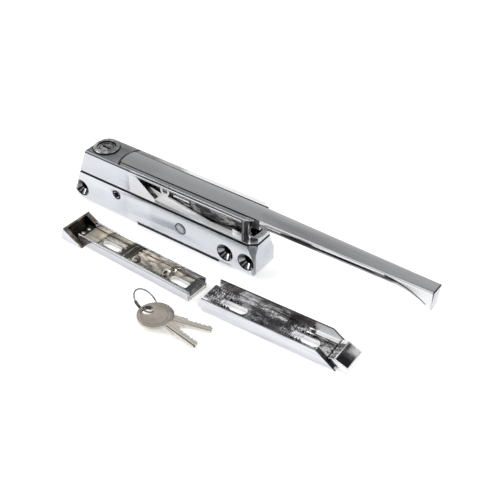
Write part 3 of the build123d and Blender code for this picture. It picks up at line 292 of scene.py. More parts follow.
@dataclass(frozen=True)
class Patch:
    """A box-shaped zone of a surface with a tone of its own, such as a seam, painted shade, painted light or bare
    casting.

    Attributes:
        x: Limits along the piece.
        y: Limits across it.
        z: Limits above its foot.
        tone: Colour there.
        soft: Width of its border.
        fray: How far noise moves the border.
        cover: How strongly it hides what is below.
        matt: How far it is dull instead of metallic.
        drift: Noise scale per millimetre of the frayed border.
    """

    x: Span
    y: Span
    z: Span
    tone: Tone
    soft: float = 0.15
    fray: float = 0.0
    cover: float = 1.0
    matt: float = 0.0
    drift: Tone = (0.7, 0.7, 0.7)

    def mask(self, graph: Graph, where: Socket) -> Socket:
        """How far a point is inside, from 0 to the cover.

        Args:
            graph: Graph of the material.
            where: The point, on the piece's own axes.

        Returns:
            The cover inside and 0 outside.
        """
        spans = (self.x, self.y, self.z)
        away = graph.vector("ABSOLUTE", graph.vector("SUBTRACT", where, tuple((a + b) / 2 for a, b in spans)))
        parts = graph.parts(graph.vector("SUBTRACT", away, tuple((b - a) / 2 for a, b in spans)))
        depth = graph.math("MAXIMUM", graph.math("MAXIMUM", parts[0], parts[1]), parts[2])
        if self.fray:
            wander = graph.span(graph.noise(where, self.drift, 4.0), (0.3, 0.7), (-self.fray, self.fray))
            depth = graph.math("ADD", depth, wander)
        return graph.span(depth, (-self.soft, self.soft), (self.cover, 0), True)


def patches(z: Span, *rows: tuple) -> tuple[Patch, ...]:
    """Patches of one height: a row has the limits along and across, the tone and what follows it in Patch."""
    return tuple(Patch(x, y, z, *rest) for x, y, *rest in rows)


@dataclass(frozen=True)
class Rim:
    """A round line on a surface, such as the gap round a rivet or an engraved ring.

    Attributes:
        centre: Its centre.
        inner: Inner radius.
        outer: Outer radius.
        tone: Colour there.
        flat: Which axes count towards the radius.
        soft: Width of its border.
        cover: How strongly it hides what is below.
        matt: How far it is dull instead of metallic.
        start: Where it starts along the piece, if it is only an arc.
        end: Where it ends along the piece, if it is only an arc.
    """

    centre: Tone
    inner: float
    outer: float
    tone: Tone = SEAM
    flat: Tone = ROUND_Z
    soft: float = 0.12
    cover: float = 1.0
    matt: float = 0.0
    start: float | None = None
    end: float | None = None

    def mask(self, graph: Graph, where: Socket) -> Socket:
        """How far a point is on the line, from 0 to the cover.

        Args:
            graph: Graph of the material.
            where: The point, on the piece's own axes.

        Returns:
            The cover inside and 0 outside.
        """
        arm = graph.vector("MULTIPLY", graph.vector("SUBTRACT", where, self.centre), self.flat)
        middle = (self.inner + self.outer) / 2
        away = graph.math("ABSOLUTE", graph.math("SUBTRACT", graph.vector("LENGTH", arm), middle))
        depth = graph.math("SUBTRACT", away, (self.outer - self.inner) / 2)
        along = graph.parts(where)["X"]
        if self.start is not None:
            depth = graph.math("MAXIMUM", depth, graph.math("SUBTRACT", self.start, along))
        if self.end is not None:
            depth = graph.math("MAXIMUM", depth, graph.math("SUBTRACT", along, self.end))
        return graph.span(depth, (-self.soft, self.soft), (self.cover, 0), True)


Zone = Patch | Rim


@dataclass(frozen=True)
class MetalFinish:
    """Plated, brushed or bare metal with noise patches, brush marks, slow ripples and zones of its own; the patches are
    real stains on some finishes and painted shade and painted glints on others.

    Attributes:
        name: Material name.
        tone: Colour where it is clean.
        stain_and_shading: Colour of its noise patches: stains, painted shade and painted glints.
        cover: Noise values where these patches start and are full.
        patch: Noise scale of the stains per millimetre along each axis.
        rough: Roughness where it is clean.
        dull: Roughness in these patches.
        grain: Direction of the brush marks.
        streak: Share by which brush marks darken the tone.
        scratch: Depth of the brush marks.
        ripple: Depth of the slow unevenness that bends reflections.
        wave: Noise scale of the unevenness per millimetre.
        metal: How metallic it is outside its matt zones.
        zones: Patches and rims with tones of their own.
    """

    name: str
    tone: Tone
    stain_and_shading: Tone
    cover: Span = (0.5, 0.75)
    patch: Tone = (0.06, 0.06, 0.06)
    rough: float = 0.1
    dull: float = 0.2
    grain: Grain = Grain.EVEN
    streak: float = 0.05
    scratch: float = 0.0015
    ripple: float = 0.01
    wave: Tone = (0.07, 0.07, 0.07)
    metal: float = 1.0
    zones: tuple[Zone, ...] = ()

    def build(self, place: Place) -> bpy.types.Material:
        """Make the node material for a piece that lies at a place.

        Args:
            place: Where the piece lies.

        Returns:
            The material.
        """
        material, graph = opened(self.name)
        where = graph.own(place)
        grain = graph.noise(where, self.grain.value, 4.0)
        mottling = graph.span(graph.noise(where, self.patch, 5.0), self.cover)
        clean, brushed = (
            graph.blend(mottling, rgba(self.tone, gain), rgba(self.stain_and_shading, gain)) for gain in (1.0, 1 - self.streak)
        )
        colour = graph.blend(graph.span(grain, (0.42, 0.6)), brushed, clean)
        dulled = graph.span(mottling, (0, 1), (self.rough, self.dull))
        rough = graph.math("ADD", dulled, graph.span(grain, (0.35, 0.65), (0, self.streak / 2)))
        metal: object = self.metal
        for zone in self.zones:
            mask = zone.mask(graph, where)
            colour = graph.blend(mask, colour, rgba(zone.tone))
            if zone.matt:
                dulled = graph.math("MULTIPLY", mask, zone.matt)
                metal = graph.math("MULTIPLY", metal, graph.math("SUBTRACT", 1.0, dulled))
                rough = graph.math("ADD", rough, graph.math("MULTIPLY", dulled, 0.4))
        bent = graph.bump(graph.noise(where, self.wave, 1.0), self.ripple)
        marked = graph.bump(grain, self.scratch, bent)
        graph.shade(Base_Color=colour, Metallic=metal, Roughness=rough, Normal=marked)
        return material


@dataclass(frozen=True)
class TurnedFinish:
    """Metal that was turned or drilled about an axis, with light and dark rays painted on as its reflection, running
    out from the centre.

    Attributes:
        name: Material name.
        centre: A point of the axis.
        flat: Which axes count towards the radius.
        tone: Colour of the light rays.
        shade: Colour of the dark rays.
        cover: Noise values where the dark starts and is full.
        rays: Noise scale round the axis.
        rough: Roughness.
        line: Distance between tool marks.
        depth: Depth of the tool marks.
        zones: Patches and rims with tones of their own.
    """

    name: str
    centre: Tone
    flat: Tone
    tone: Tone
    shade: Tone
    cover: Span = (0.44, 0.56)
    rays: float = 1.6
    rough: float = 0.14
    line: float = 0.35
    depth: float = 0.003
    zones: tuple[Zone, ...] = ()

    def build(self, place: Place) -> bpy.types.Material:
        """Make the node material for a piece that lies at a place.

        Args:
            place: Where the piece lies.

        Returns:
            The material.
        """
        material, graph = opened(self.name)
        where = graph.own(place)
        arm = graph.vector("MULTIPLY", graph.vector("SUBTRACT", where, self.centre), self.flat)
        ray = graph.noise(graph.vector("NORMALIZE", arm), (self.rays, self.rays, self.rays), 2.0)
        turns = graph.math("MULTIPLY", graph.vector("LENGTH", arm), math.tau / self.line)
        lines = graph.span(graph.math("SINE", turns), (-1, 1))
        colour = graph.blend(graph.span(ray, self.cover, smooth=True), rgba(self.tone), rgba(self.shade))
        colour = graph.blend(graph.span(lines, (0, 1), (0, 0.25)), colour, rgba(self.shade))
        fine = graph.noise(where, Grain.EVEN.value, 3.0)
        graph.shade(
            Base_Color=graph.zoned(colour, self.zones, where),
            Metallic=1.0,
            Roughness=graph.span(fine, (0.3, 0.7), (self.rough, self.rough + 0.1)),
            Normal=graph.bump(lines, self.depth, graph.bump(fine, self.depth)),
        )
        return material


@dataclass(frozen=True)
class MouldedFinish:
    """Rubber, plastic or ferrite: dull, dark and finely pitted.

    Attributes:
        name: Material name.
        tone: Base colour.
        rough: Roughness.
        pits: Depth of the pits.
        dust: Colour of the dust that lies in patches.
        shine: Specular level.
        zones: Patches and rims with tones of their own.
    """

    name: str
    tone: Tone
    rough: float
    pits: float = 0.02
    dust: Tone = (0.03, 0.03, 0.031)
    shine: float = 0.25
    zones: tuple[Zone, ...] = ()

    def build(self, place: Place) -> bpy.types.Material:
        """Make the node material for a piece that lies at a place.

        Args:
            place: Where the piece lies.

        Returns:
            The material.
        """
        material, graph = opened(self.name)
        where = graph.own(place)
        speck, cloud = (graph.noise(where, (scale, scale, scale), 3.0) for scale in (1.8, 0.14))
        colour = graph.blend(graph.span(cloud, (0.45, 0.75)), rgba(self.tone), rgba(self.dust))
        graph.shade(
            Base_Color=graph.zoned(colour, self.zones, where),
            Roughness=graph.span(speck, (0.3, 0.7), (self.rough - 0.08, self.rough + 0.1)),
            Specular_IOR_Level=self.shine,
            Normal=graph.bump(speck, self.pits),
        )
        return material


Finish = MetalFinish | TurnedFinish | MouldedFinish
# Gives a face's finish from its middle and its normal on the piece's own axes
Chooser = Callable[[Vector, Vector], Finish]


def link(name: str, mesh: bpy.types.ID) -> bpy.types.Object:
    """Put a mesh, lamp or camera into the scene as an object at the origin.

    Args:
        name: Name of the object.
        mesh: Its mesh, lamp or camera data.

    Returns:
        The object.
    """
    piece = bpy.data.objects.new(name, mesh)
    bpy.context.scene.collection.objects.link(piece)
    return piece


def settled(stand: bpy.types.Object) -> bpy.types.Mesh:
    """The plain mesh that a stand's modifiers give, with the stand taken away.

    Args:
        stand: An object whose modifiers are live.

    Returns:
        The mesh.
    """
    graph = bpy.context.evaluated_depsgraph_get()
    mesh = bpy.data.meshes.new_from_object(stand.evaluated_get(graph), depsgraph=graph)
    bpy.data.objects.remove(stand)
    return mesh


class Recipe:
    """A Geometry Nodes tree with named inputs, grown into a plain mesh."""

    def __init__(self, name: str, inputs: dict[str, str]) -> None:
        """Open a tree with its inputs, given as socket type by name, and a material input.

        Args:
            name: Name of the tree.
            inputs: Socket type of each input by its name.
        """
        self.tree = bpy.data.node_groups.new(name, "GeometryNodeTree")
        self.graph = Graph(self.tree, "GeometryNode")
        self.names: dict[str, str] = {}
        for label, kind in {**inputs, "Finish": "Material"}.items():
            socket = self.tree.interface.new_socket(name=label, in_out="INPUT", socket_type="NodeSocket" + kind)
            self.names[label] = socket.identifier
        self.tree.interface.new_socket(name="Mesh", in_out="OUTPUT", socket_type="NodeSocketGeometry")
        self.given = self.graph.add("NodeGroupInput").outputs

    def close(self, geometry: Socket) -> None:
        """Realize, give the material and end the tree.

        Args:
            geometry: What the tree has made so far.
        """
        real = self.graph.feed(self.graph.add("RealizeInstances"), Geometry=geometry).outputs[0]
        dressed = self.graph.feed(self.graph.add("SetMaterial"), Geometry=real, Material=self.given["Finish"])
        self.graph.feed(self.graph.add("NodeGroupOutput"), i0=dressed.outputs[0])

    def grow(self, place: Matrix, **values: object) -> bpy.types.Mesh:
        """Run the tree with its input values and give its result as a plain mesh.

        Args:
            place: Matrix from the recipe's space to the frame.
            values: Input values by name.

        Returns:
            The mesh.
        """
        stand = link(self.tree.name + "_stand", bpy.data.meshes.new(self.tree.name))
        modifier = stand.modifiers.new(self.tree.name, "NODES")
        modifier.node_group = self.tree
        for label, value in values.items():
            modifier[self.names[label]] = value
        mesh = settled(stand)
        mesh.transform(place)
        return mesh


class ToothRow(Recipe):
    """A straight row of pointed teeth or burrs."""

    def __init__(self) -> None:
        """Build the tree: four-sided points on a line of equal steps."""
        super().__init__("tooth_row", {"Count": "Int", "Step": "Vector", "Start": "Vector", "Size": "Vector"})
        given, graph = self.given, self.graph
        line = graph.add("MeshLine", mode="OFFSET")
        graph.feed(line, Count=given["Count"], Start_Location=given["Start"], Offset=given["Step"])
        tooth = graph.feed(graph.add("MeshCone"), Vertices=4, Radius_Top=0.0, Radius_Bottom=0.7, Depth=1.0)
        row = graph.feed(graph.add("InstanceOnPoints"), Points=line.outputs[0], Instance=tooth.outputs[0])
        graph.feed(row, Scale=given["Size"], Rotation=(0, 0, math.pi / 4))
        self.close(row.outputs[0])


class BentWire(Recipe):
    """A wire or tube bent round part of a circle, its thickness rising and falling along it."""

    def __init__(self) -> None:
        """Build the tree: a round section swept along an arc."""
        labels = ("Radius", "Wire", "From", "Sweep", "Crimp", "Waves")
        super().__init__("bent_wire", {**dict.fromkeys(labels, "Float"), "Points": "Int"})
        given, graph = self.given, self.graph
        arc = graph.add("CurveArc", mode="RADIUS")
        graph.feed(arc, Resolution=given["Points"], Radius=given["Radius"])
        graph.feed(arc, Start_Angle=given["From"], Sweep_Angle=given["Sweep"])
        share = graph.add("SplineParameter").outputs["Factor"]
        turns = graph.math("MULTIPLY", graph.math("MULTIPLY", share, given["Waves"]), math.tau)
        swell = graph.math("MULTIPLY", graph.math("COSINE", turns), given["Crimp"])
        thick = graph.add("SetCurveRadius")
        graph.feed(thick, Curve=arc.outputs[0], Radius=graph.math("SUBTRACT", 1.0, swell))
        section = graph.feed(graph.add("CurvePrimitiveCircle"), Resolution=14, Radius=given["Wire"])
        tube = graph.add("CurveToMesh")
        graph.feed(tube, Curve=thick.outputs[0], Profile_Curve=section.outputs[0], Fill_Caps=True)
        if "Scale" in tube.inputs:
            graph.feed(tube, Scale=graph.math("SUBTRACT", 1.0, swell))
        self.close(tube.outputs[0])


class Bench:
    """The loaded frame, and the ways a piece is shelled, dressed and hung on its body."""

    def __init__(self, frame: dict) -> None:
        """Keep the frame's nodes and the materials made so far."""
        self.nodes: dict[str, bpy.types.Object] = frame["nodes"]
        self.made: dict[tuple[Finish, Place], bpy.types.Material] = {}

    def material(self, finish: Finish, place: Place) -> bpy.types.Material:
        """The material of a finish at a place, made once.

        Args:
            finish: The finish.
            place: Where the piece lies.

        Returns:
            The material.
        """
        key = (finish, place)
        if key not in self.made:
            self.made[key] = finish.build(place)
        return self.made[key]

    def dress(self, place: Place, finish: Finish, *names: str) -> None:
        """Give a finish to CAD nodes at a place that stay as they are.

        Args:
            place: Where the nodes lie.
            finish: Their finish.
            names: The nodes.
        """
        for name in names:
            mesh = self.nodes[name].data
            material = self.material(finish, place)
            if mesh.materials:
                mesh.materials[0] = material
            else:
                mesh.materials.append(material)
            LOG.info("dressed %s in %s", name, finish.name)

    def hang(self, piece: bpy.types.Object, body: str, slot: str, *nodes: str) -> None:
        """Let a piece ride on its body and stand for its nodes, if any.

        Args:
            piece: The finished piece.
            body: The body that carries it.
            slot: Its material slot in the record; not used.
            nodes: The CAD nodes that it stands for.
        """
        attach(piece, body)
        if nodes:
            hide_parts(*nodes)
        LOG.info("built %s on %s, %d faces", piece.name, body, len(piece.data.polygons))

    def opened(self, node: str, merge: float = MERGE) -> bmesh.types.BMesh:
        """A smooth copy of a node's form, its double points merged.

        Args:
            node: The CAD node.
            merge: Distance in metres below which points are one.

        Returns:
            The copy.
        """
        form = bmesh.new()
        form.from_mesh(self.nodes[node].data)
        bmesh.ops.remove_doubles(form, verts=form.verts, dist=merge)
        for face in form.faces:
            face.smooth = True
        return form

    def closed(self, name: str, form: bmesh.types.BMesh, place: Place, *finishes: Finish) -> bpy.types.Object:
        """End a form as an object in its finishes.

        Args:
            name: Name of the object.
            form: Its form, which is freed here.
            place: Where it lies.
            finishes: Its finishes, in the order of its faces' indices.

        Returns:
            The object.
        """
        mesh = bpy.data.meshes.new(name)
        form.to_mesh(mesh)
        form.free()
        for finish in finishes:
            mesh.materials.append(self.material(finish, place))
        return link(name, mesh)

    def rounded(self, name: str, stand: bpy.types.Object, softness: float) -> bpy.types.Object:
        """A piece like a stand that it takes the place of, with its edges rounded by a width.

        Args:
            name: Name of the piece.
            stand: The object that gives the form.
            softness: Width of the rounded edges in millimetres.

        Returns:
            The piece.
        """
        bevel = stand.modifiers.new("rounded_edges", "BEVEL")
        bevel.width = softness * MM
        bevel.segments = 2
        bevel.limit_method = "ANGLE"
        bevel.angle_limit = EDGE_ANGLE
        bevel.use_clamp_overlap = True
        bevel.harden_normals = True
        return link(name, settled(stand))

    def shells(self, place: Place, *rows: tuple[str, str, str, float, Chooser | Finish]) -> None:
        """Stand softened copies in for nodes: edges rounded, and each face in its own finish.

        Args:
            place: Where the nodes lie.
            rows: Node, body that carries it, material slot, width of its rounded edges, and its finish or chooser.
        """
        inward = place.matrix().inverted()
        for node, body, slot, softness, choose in rows:
            form = self.opened(node)
            bmesh.ops.dissolve_degenerate(form, dist=MERGE_FINE, edges=form.edges)
            bmesh.ops.dissolve_limit(
                form, angle_limit=FLAT_ANGLE, use_dissolve_boundaries=False, verts=form.verts, edges=form.edges
            )
            finishes: list[Finish] = []
            for face in form.faces:
                finish = choose
                if callable(choose):
                    finish = choose(inward @ face.calc_center_median(), place.aim(face.normal))
                if finish not in finishes:
                    finishes.append(finish)
                face.material_index = finishes.index(finish)
                face.smooth = True
            stand = self.closed(node + "_stand", form, place, *finishes)
            self.hang(self.rounded(node + "_shell", stand, softness), body, slot, node)


CASE_PLATE = MetalFinish(
    "case_plate", (0.67, 0.69, 0.725), (0.57, 0.59, 0.64), patch=(0.025, 0.05, 0.1), rough=0.2, dull=0.3,
    grain=Grain.ALONG, streak=0.04, scratch=0.001, ripple=0.02, wave=(0.02, 0.06, 0.06),
)
# Near-white copy of the plating where faces look white from light and reflection: painted light
CASE_LIT = replace(
    CASE_PLATE, name="case_lit", tone=(0.97, 0.972, 0.98), stain_and_shading=(0.8, 0.81, 0.83), cover=(0.6, 0.8), rough=0.3,
    metal=0.12,
)
# Bare metal inside the case, painted dark as shade, with lighter patches
BARE_SHADED_INSIDE = MetalFinish(
    "bare_shaded_inside", (0.06, 0.058, 0.058), (0.4, 0.39, 0.38), cover=(0.5, 0.64), patch=(0.16, 0.3, 0.4),
    rough=0.3, dull=0.4, streak=0.4, scratch=0.006, ripple=0.04, wave=(0.3, 0.3, 0.3),
)
# Dark copy of the plating for undersides, inner walls and hole walls: painted shade
SHADED_EDGE = MetalFinish(
    "shaded_edge", (0.09, 0.09, 0.095), (0.03, 0.03, 0.032), cover=(0.45, 0.6), patch=(0.3, 0.3, 0.3),
    rough=0.2, dull=0.35, streak=0.3, scratch=0.003,
)
BRIGHT_METAL = MetalFinish(
    "bright_metal", (0.66, 0.67, 0.68), (0.2, 0.2, 0.2), cover=(0.55, 0.7), patch=(0.25, 0.25, 0.25),
    rough=0.08, dull=0.25, ripple=0.04, wave=(0.25, 0.25, 0.25),
)
PLAIN_STEEL = MetalFinish(
    "plain_steel", (0.42, 0.42, 0.43), (0.25, 0.25, 0.25), patch=(0.3, 0.3, 0.3), rough=0.22, dull=0.35, streak=0.15
)
# Screw bores past the countersinks, painted dark as shade
SHADED_BORE = MetalFinish(
    "shaded_bore", (0.05, 0.05, 0.052), (0.16, 0.16, 0.16), cover=(0.5, 0.65), patch=(0.4, 0.4, 0.4),
    rough=0.3, dull=0.4, grain=Grain.ACROSS, streak=0.3,
)
# Web of the lever and the case faces that show it: bare metal painted dark as shade, with lighter patches
WEB_SHADED = MetalFinish(
    "web_shaded", (0.085, 0.083, 0.083), (0.62, 0.61, 0.59), cover=(0.49, 0.6), patch=(0.16, 0.5, 0.45),
    rough=0.2, dull=0.4, grain=Grain.ALONG, streak=0.5, scratch=0.004, ripple=0.03, wave=(0.1, 0.3, 0.3),
)
# Black rubber of the gasket, also laid in the lock's keyway as painted shade
BLACK_RUBBER_AND_SHADE = MouldedFinish("black_rubber", (0.01, 0.01, 0.011), 0.6)

# Lower half of the case, but for the rings round its pin and rivet: sheen of a painted reflection, painted shadow along
# the foot and along the foot's thin end, seam and corner
BASE_PAINTED_SHEEN = Patch((44, 60.5), (-1, 0.3), (1, 21), (0.84, 0.85, 0.87), soft=2.5, cover=0.5)
BASE_ZONES = (
    Patch((50, 112.5), WIDE, (-1, 0.6), PAINTED_SHADE_DEEP, soft=0.3, fray=0.2, matt=0.5),
    Patch((112, 121.5), WIDE, (-1, 0.3), PAINTED_SHADE_DEEP, soft=0.2, matt=0.5),
    Patch((-9, 160), WIDE, (19.35, 20), SEAM, cover=0.85),
    Patch((136.5, 138.3), (-0.1, 2), (-1, 13), (0.12, 0.125, 0.135), soft=0.5, cover=0.8),
)
# Grey hollowed corners at the lever's end: painted shade, upper painted shade and a painted glint
SCOOP = replace(
    CASE_PLATE,
    name="scoop",
    tone=(0.36, 0.37, 0.4),
    stain_and_shading=(0.26, 0.27, 0.3),
    zones=(
        Patch((126, 133.6), WIDE, (-2, 38), (0.05, 0.052, 0.058), soft=0.9, fray=0.5),
        Patch((126, 142), WIDE, (22, 38), (0.04, 0.042, 0.046), soft=1.5, fray=0.5, cover=0.9),
        Patch((133.9, 134.6), WIDE, (20, 37), (0.8, 0.8, 0.82), fray=0.1),
    ),
)
# Upper half of the case: painted sheen, seam below the satin plate, line, lip, foot, painted shade on the pillar and
# its painted glint
UPPER_PLATE = replace(
    CASE_PLATE,
    name="upper_plate",
    tone=(0.6, 0.618, 0.66),
    zones=(
        Patch((46.5, 66), (-1, 0.5), (20, 34), (0.98, 0.98, 0.99), soft=0.8, cover=0.95, matt=0.85),
        Patch((-1, 131), (-1, 0.4), (35.95, 36.5), SEAM, soft=0.12),
        Patch((52, 130), (-1, 0.4), (34.85, 35.1), (0.1, 0.1, 0.11), soft=0.1),
        Patch((52, 130), (-1, 0.4), (34.2, 34.5), (0.05, 0.05, 0.055), soft=0.1),
        Patch((-9, 140), (-1, 0.4), (20.8, 21.35), SEAM, soft=0.12, cover=0.85),
        Patch((129.3, 140), (-0.5, 0.5), (21.6, 36), PAINTED_SHADE_DEEP, soft=0.3, cover=0.95),
        Patch((130.4, 130.7), (-0.5, 0.5), (22.5, 36.2), (0.8, 0.8, 0.82), soft=0.1, cover=0.7, matt=0.4),
    ),
)
# Top of the satin plate: darker left end, dark ring round the lock, painted shade along the gap by the lever, groove
# round the lever, and painted light behind it
PLATE_SATIN = MetalFinish(
    "plate_satin", (0.42, 0.425, 0.435), (0.27, 0.273, 0.28), cover=(0.4, 0.75), patch=(0.03, 0.2, 0.2),
    rough=0.26, dull=0.36, grain=Grain.ALONG, streak=0.22, scratch=0.003,
    zones=(
        Patch((-2, 34), WIDE, (30, 40), (0.22, 0.225, 0.23), soft=9, fray=2),
        Rim((20.6, 10, 0), 8.0, 8.8, (0.03, 0.03, 0.03), soft=0.2, cover=0.9),
        Rim((52.2, 10, 0), 15.6, 17.0, soft=0.2, end=42.0),
        Patch((37.5, 131), (2.35, 3.2), (30, 40), PAINTED_SHADE_DEEP, cover=0.9),
        Patch((56, 150), (9, 30), (30, 40), (0.7, 0.7, 0.71), soft=6, cover=0.7, matt=0.6),
        Patch((76, 150), (10, 30), (30, 40), (0.97, 0.97, 0.98), soft=6, matt=0.9),
    ),
)
# Edge of the satin plate: dim left end, seam, line and painted light at the back
PLATE_EDGE = MetalFinish(
    "plate_edge", (0.62, 0.63, 0.66), (0.4, 0.41, 0.43), grain=Grain.ALONG, rough=0.16,
    zones=(
        Patch((-2, 48), (-1, 1), (36, 38), (0.05, 0.05, 0.055), soft=2, cover=0.9),
        Patch((-2, 150), WIDE, (36, 36.8), SEAM, soft=0.12),
        Patch((40, 131), (-1, 0.5), (37.05, 37.3), (0.06, 0.06, 0.065), soft=0.1),
        Patch((72, 150), (13, 27), (30, 44), (0.94, 0.94, 0.95), soft=6, cover=0.9, matt=0.8),
    ),
)


@dataclass
class LatchCase:
    """The two plated halves of the case, the gasket between them, the satin plate on top and the pins.

    Attributes:
        place: Front left foot of the case.
        length: Length of the case.
        width: Width from front to back.
        recess: Depth of the sunk windows.
        hole_x: Places of the screw holes along the case.
        hole_z: Their height.
        mouth: Countersink radius.
        window: Limits of the sunk window along the case.
        bridge: Limits of the bridge along the case.
        pin: Place along the case, height and radius of the stop pin.
        rivet: The same of the magnet rivet.
        pivot: The same of the pivot pin.
        hollow: Limits of the lower half's inside along the case.
        shell: Thickness of its side walls.
        split: Height of its upper edge.
        cone_depth: How deep a screw hole shows its countersink.
        scoop_start: Where the slanted faces of the lower half count as its right corners.
        left_slope: Where the slanted left end of the upper half stops.
        foot_z: Height above which the right end of the upper half counts.
        web_z: Height above which that end shows the web between its two corners.
        bridge_z: Height of the bridge's top.
        shaded_end: Left of here the window's end faces are bare metal in painted shade.
        cheeks: Limits of the bright faces beside the pivot pin.
        inner_z: Limits in height of the upper half's inside.
        side: Thickness of the upper half's side walls.
        end_wall: Where its inside starts behind the lock's end.
        plate_rim: Width of the satin plate beside its opening.
    """

    place: Place
    length: float = 138.0
    width: float = 20.0
    recess: float = 3.2
    hole_x: Tone = (5.2, 117.4, 132.2)
    hole_z: float = 7.45
    mouth: float = 5.7
    window: Span = (52.5, 129.4)
    bridge: Span = (120.5, 128.9)
    pin: Tone = (35.0, 14.2, 2.75)
    rivet: Tone = (84.8, 10.3, 3.5)
    pivot: Tone = (71.4, 30.2, 2.0)
    hollow: Span = (9.0, 128.0)
    shell: float = 2.8
    split: float = 19.5
    cone_depth: float = 3.4
    scoop_start: float = 60.0
    left_slope: float = 12.5
    foot_z: float = 20.0
    web_z: float = 26.0
    bridge_z: float = 24.6
    shaded_end: float = 80.0
    cheeks: Span = (66.0, 77.0)
    inner_z: Span = (24.0, 36.0)
    side: float = 3.0
    end_wall: float = 11.0
    plate_rim: float = 2.0

    def ring(self, spot: Tone, inner: float, outer: float, soft: float = 0.12) -> Rim:
        """A dark ring round a pin or rivet, its radii counted from the edge."""
        x, z, radius = spot
        return Rim((x, 0, z), radius + inner, radius + outer, flat=ROUND_Y, soft=soft)

    def turned(self, name: str, spot: Tone, tone: Tone, shade: Tone, *rings: Span, **more: float) -> TurnedFinish:
        """Turned end of a pin or rivet with dark rings, given from its edge."""
        zones = tuple(self.ring(spot, *ring) for ring in rings)
        return TurnedFinish(name, (spot[0], 0, spot[1]), ROUND_Y, tone, shade, zones=zones, **more)

    def cone(self, index: int) -> TurnedFinish:
        """Painted light and dark reflected rays of one countersink.

        Args:
            index: Which screw hole, counted from the lock.

        Returns:
            The finish.
        """
        centre = (self.hole_x[index], 0, self.hole_z)
        return TurnedFinish(
            f"countersink_{index + 1}", centre, ROUND_Y, (0.62, 0.63, 0.65), (0.025, 0.025, 0.028),
            cover=(0.42, 0.56), rays=2.1, zones=(Rim(centre, 5.35, 5.9, flat=ROUND_Y, cover=0.9),),
        )

    def base_face(self, middle: Vector, normal: Vector) -> Finish:
        """Finish of a face of the lower half.

        Args:
            middle: The face's middle on the piece's own axes.
            normal: Which way it looks.

        Returns:
            The finish.
        """
        for index, x in enumerate(self.hole_x):
            arm = math.hypot(middle.x - x, middle.z - self.hole_z)
            inward = (middle.x - x) * normal.x + (middle.z - self.hole_z) * normal.z < 0.0
            if arm < self.mouth + 0.2 and abs(normal.y) < 0.95 and inward:
                return self.cone(index) if middle.y < self.cone_depth else SHADED_BORE
        start, end = self.hollow
        inside = self.shell < middle.y < self.width - self.shell and start < middle.x < end and middle.z > 0.3
        if inside and abs(normal.y) < 0.999 and not (normal.z > 0.95 and middle.z > self.split):
            return BARE_SHADED_INSIDE
        if middle.x > self.scoop_start and normal.x > 0.25 and abs(normal.y) > 0.25:
            return SCOOP
        rings = tuple(self.ring(spot, -0.1, 0.45, 0.18) for spot in (self.pin, self.rivet))
        return replace(CASE_PLATE, name="base_plate", zones=(BASE_PAINTED_SHEEN, *rings, *BASE_ZONES))

    def housing_face(self, middle: Vector, normal: Vector) -> Finish:
        """Finish of a face of the upper half.

        Args:
            middle: The face's middle on the piece's own axes.
            normal: Which way it looks.

        Returns:
            The finish.
        """
        if middle.x < self.left_slope and normal.x < -0.4 and normal.z > 0.15:
            return UPPER_PLATE
        depth = min(middle.y, self.width - middle.y)
        left, right = self.window
        if middle.x > right and middle.z > self.foot_z:
            if normal.x > 0.25 and abs(normal.y) > 0.2:
                return SCOOP
            if normal.z > 0.35:
                return CASE_LIT
            if normal.x > AIMED and middle.z > self.web_z:
                return WEB_SHADED
            if normal.x < -0.5 or (depth > 0.2 and abs(normal.y) > 0.5):
                return SHADED_EDGE
        start, end = self.bridge
        if start - 0.1 < middle.x < end + 0.1 and middle.z < self.bridge_z and depth > self.side:
            return BRIGHT_METAL
        if left - 1.0 < middle.x < right + 0.2 and depth < self.recess + 0.1:
            if depth > self.recess - 0.1:
                return CASE_LIT
            if depth > 0.05 and abs(normal.y) < 0.9:
                return BARE_SHADED_INSIDE if abs(normal.x) > 0.4 and middle.x < self.shaded_end else CASE_LIT
        if self.recess - 0.1 < depth < self.recess + 1.3 and self.cheeks[0] < middle.x < self.cheeks[1]:
            return BRIGHT_METAL
        walls = abs(normal.z) < 0.95 and middle.x > self.end_wall and normal.x < 0.95
        low, high = self.inner_z
        if depth > self.side and (walls or (low < middle.z < high and 1.0 < middle.x < self.length - 1.0)):
            return BARE_SHADED_INSIDE
        return UPPER_PLATE

    def plate_face(self, middle: Vector, normal: Vector) -> Finish:
        """Finish of a face of the satin plate.

        Args:
            middle: The face's middle on the piece's own axes.
            normal: Which way it looks.

        Returns:
            The finish.
        """
        if normal.z > AIMED:
            return PLATE_SATIN
        opening = self.plate_rim < middle.y < self.width - self.plate_rim
        if normal.z < -AIMED or (opening and abs(normal.y) > 0.3):
            return SHADED_EDGE
        return PLATE_EDGE

    def build(self, bench: Bench) -> None:
        """Shell and dress the case.

        Args:
            bench: The loaded frame and its materials.
        """
        edge = (-0.5, 0.1)
        pin = self.turned("pin_end", self.pin, (0.55, 0.56, 0.58), (0.06, 0.06, 0.065), edge, rays=0.9)
        rivet = self.turned(
            "rivet_end", self.rivet, (0.5, 0.51, 0.54), (0.36, 0.37, 0.39), (-0.35, 0.1), (-1.25, -1.0),
            rays=0.8, line=0.6,
        )
        pivot = self.turned("pivot_end", self.pivot, (0.6, 0.6, 0.6), (0.05, 0.05, 0.05), edge, rays=1.1)
        bench.shells(
            self.place,
            ("base_body", "latch", "polished_chrome", 0.3, self.base_face),
            ("upper_housing", "latch", "polished_chrome", 0.25, self.housing_face),
            ("top_plate", "latch", "satin_chrome", 0.18, self.plate_face),
            ("stop_pin", "latch", "plain_steel", 0.15, pin),
            ("magnet_rivet", "latch", "plain_steel", 0.15, rivet),
            ("pivot_pin", "latch", "plain_steel", 0.1, pivot),
        )
        bench.dress(self.place, BLACK_RUBBER_AND_SHADE, "split_gasket")
        bench.dress(self.place, PLAIN_STEEL, "case_screws")


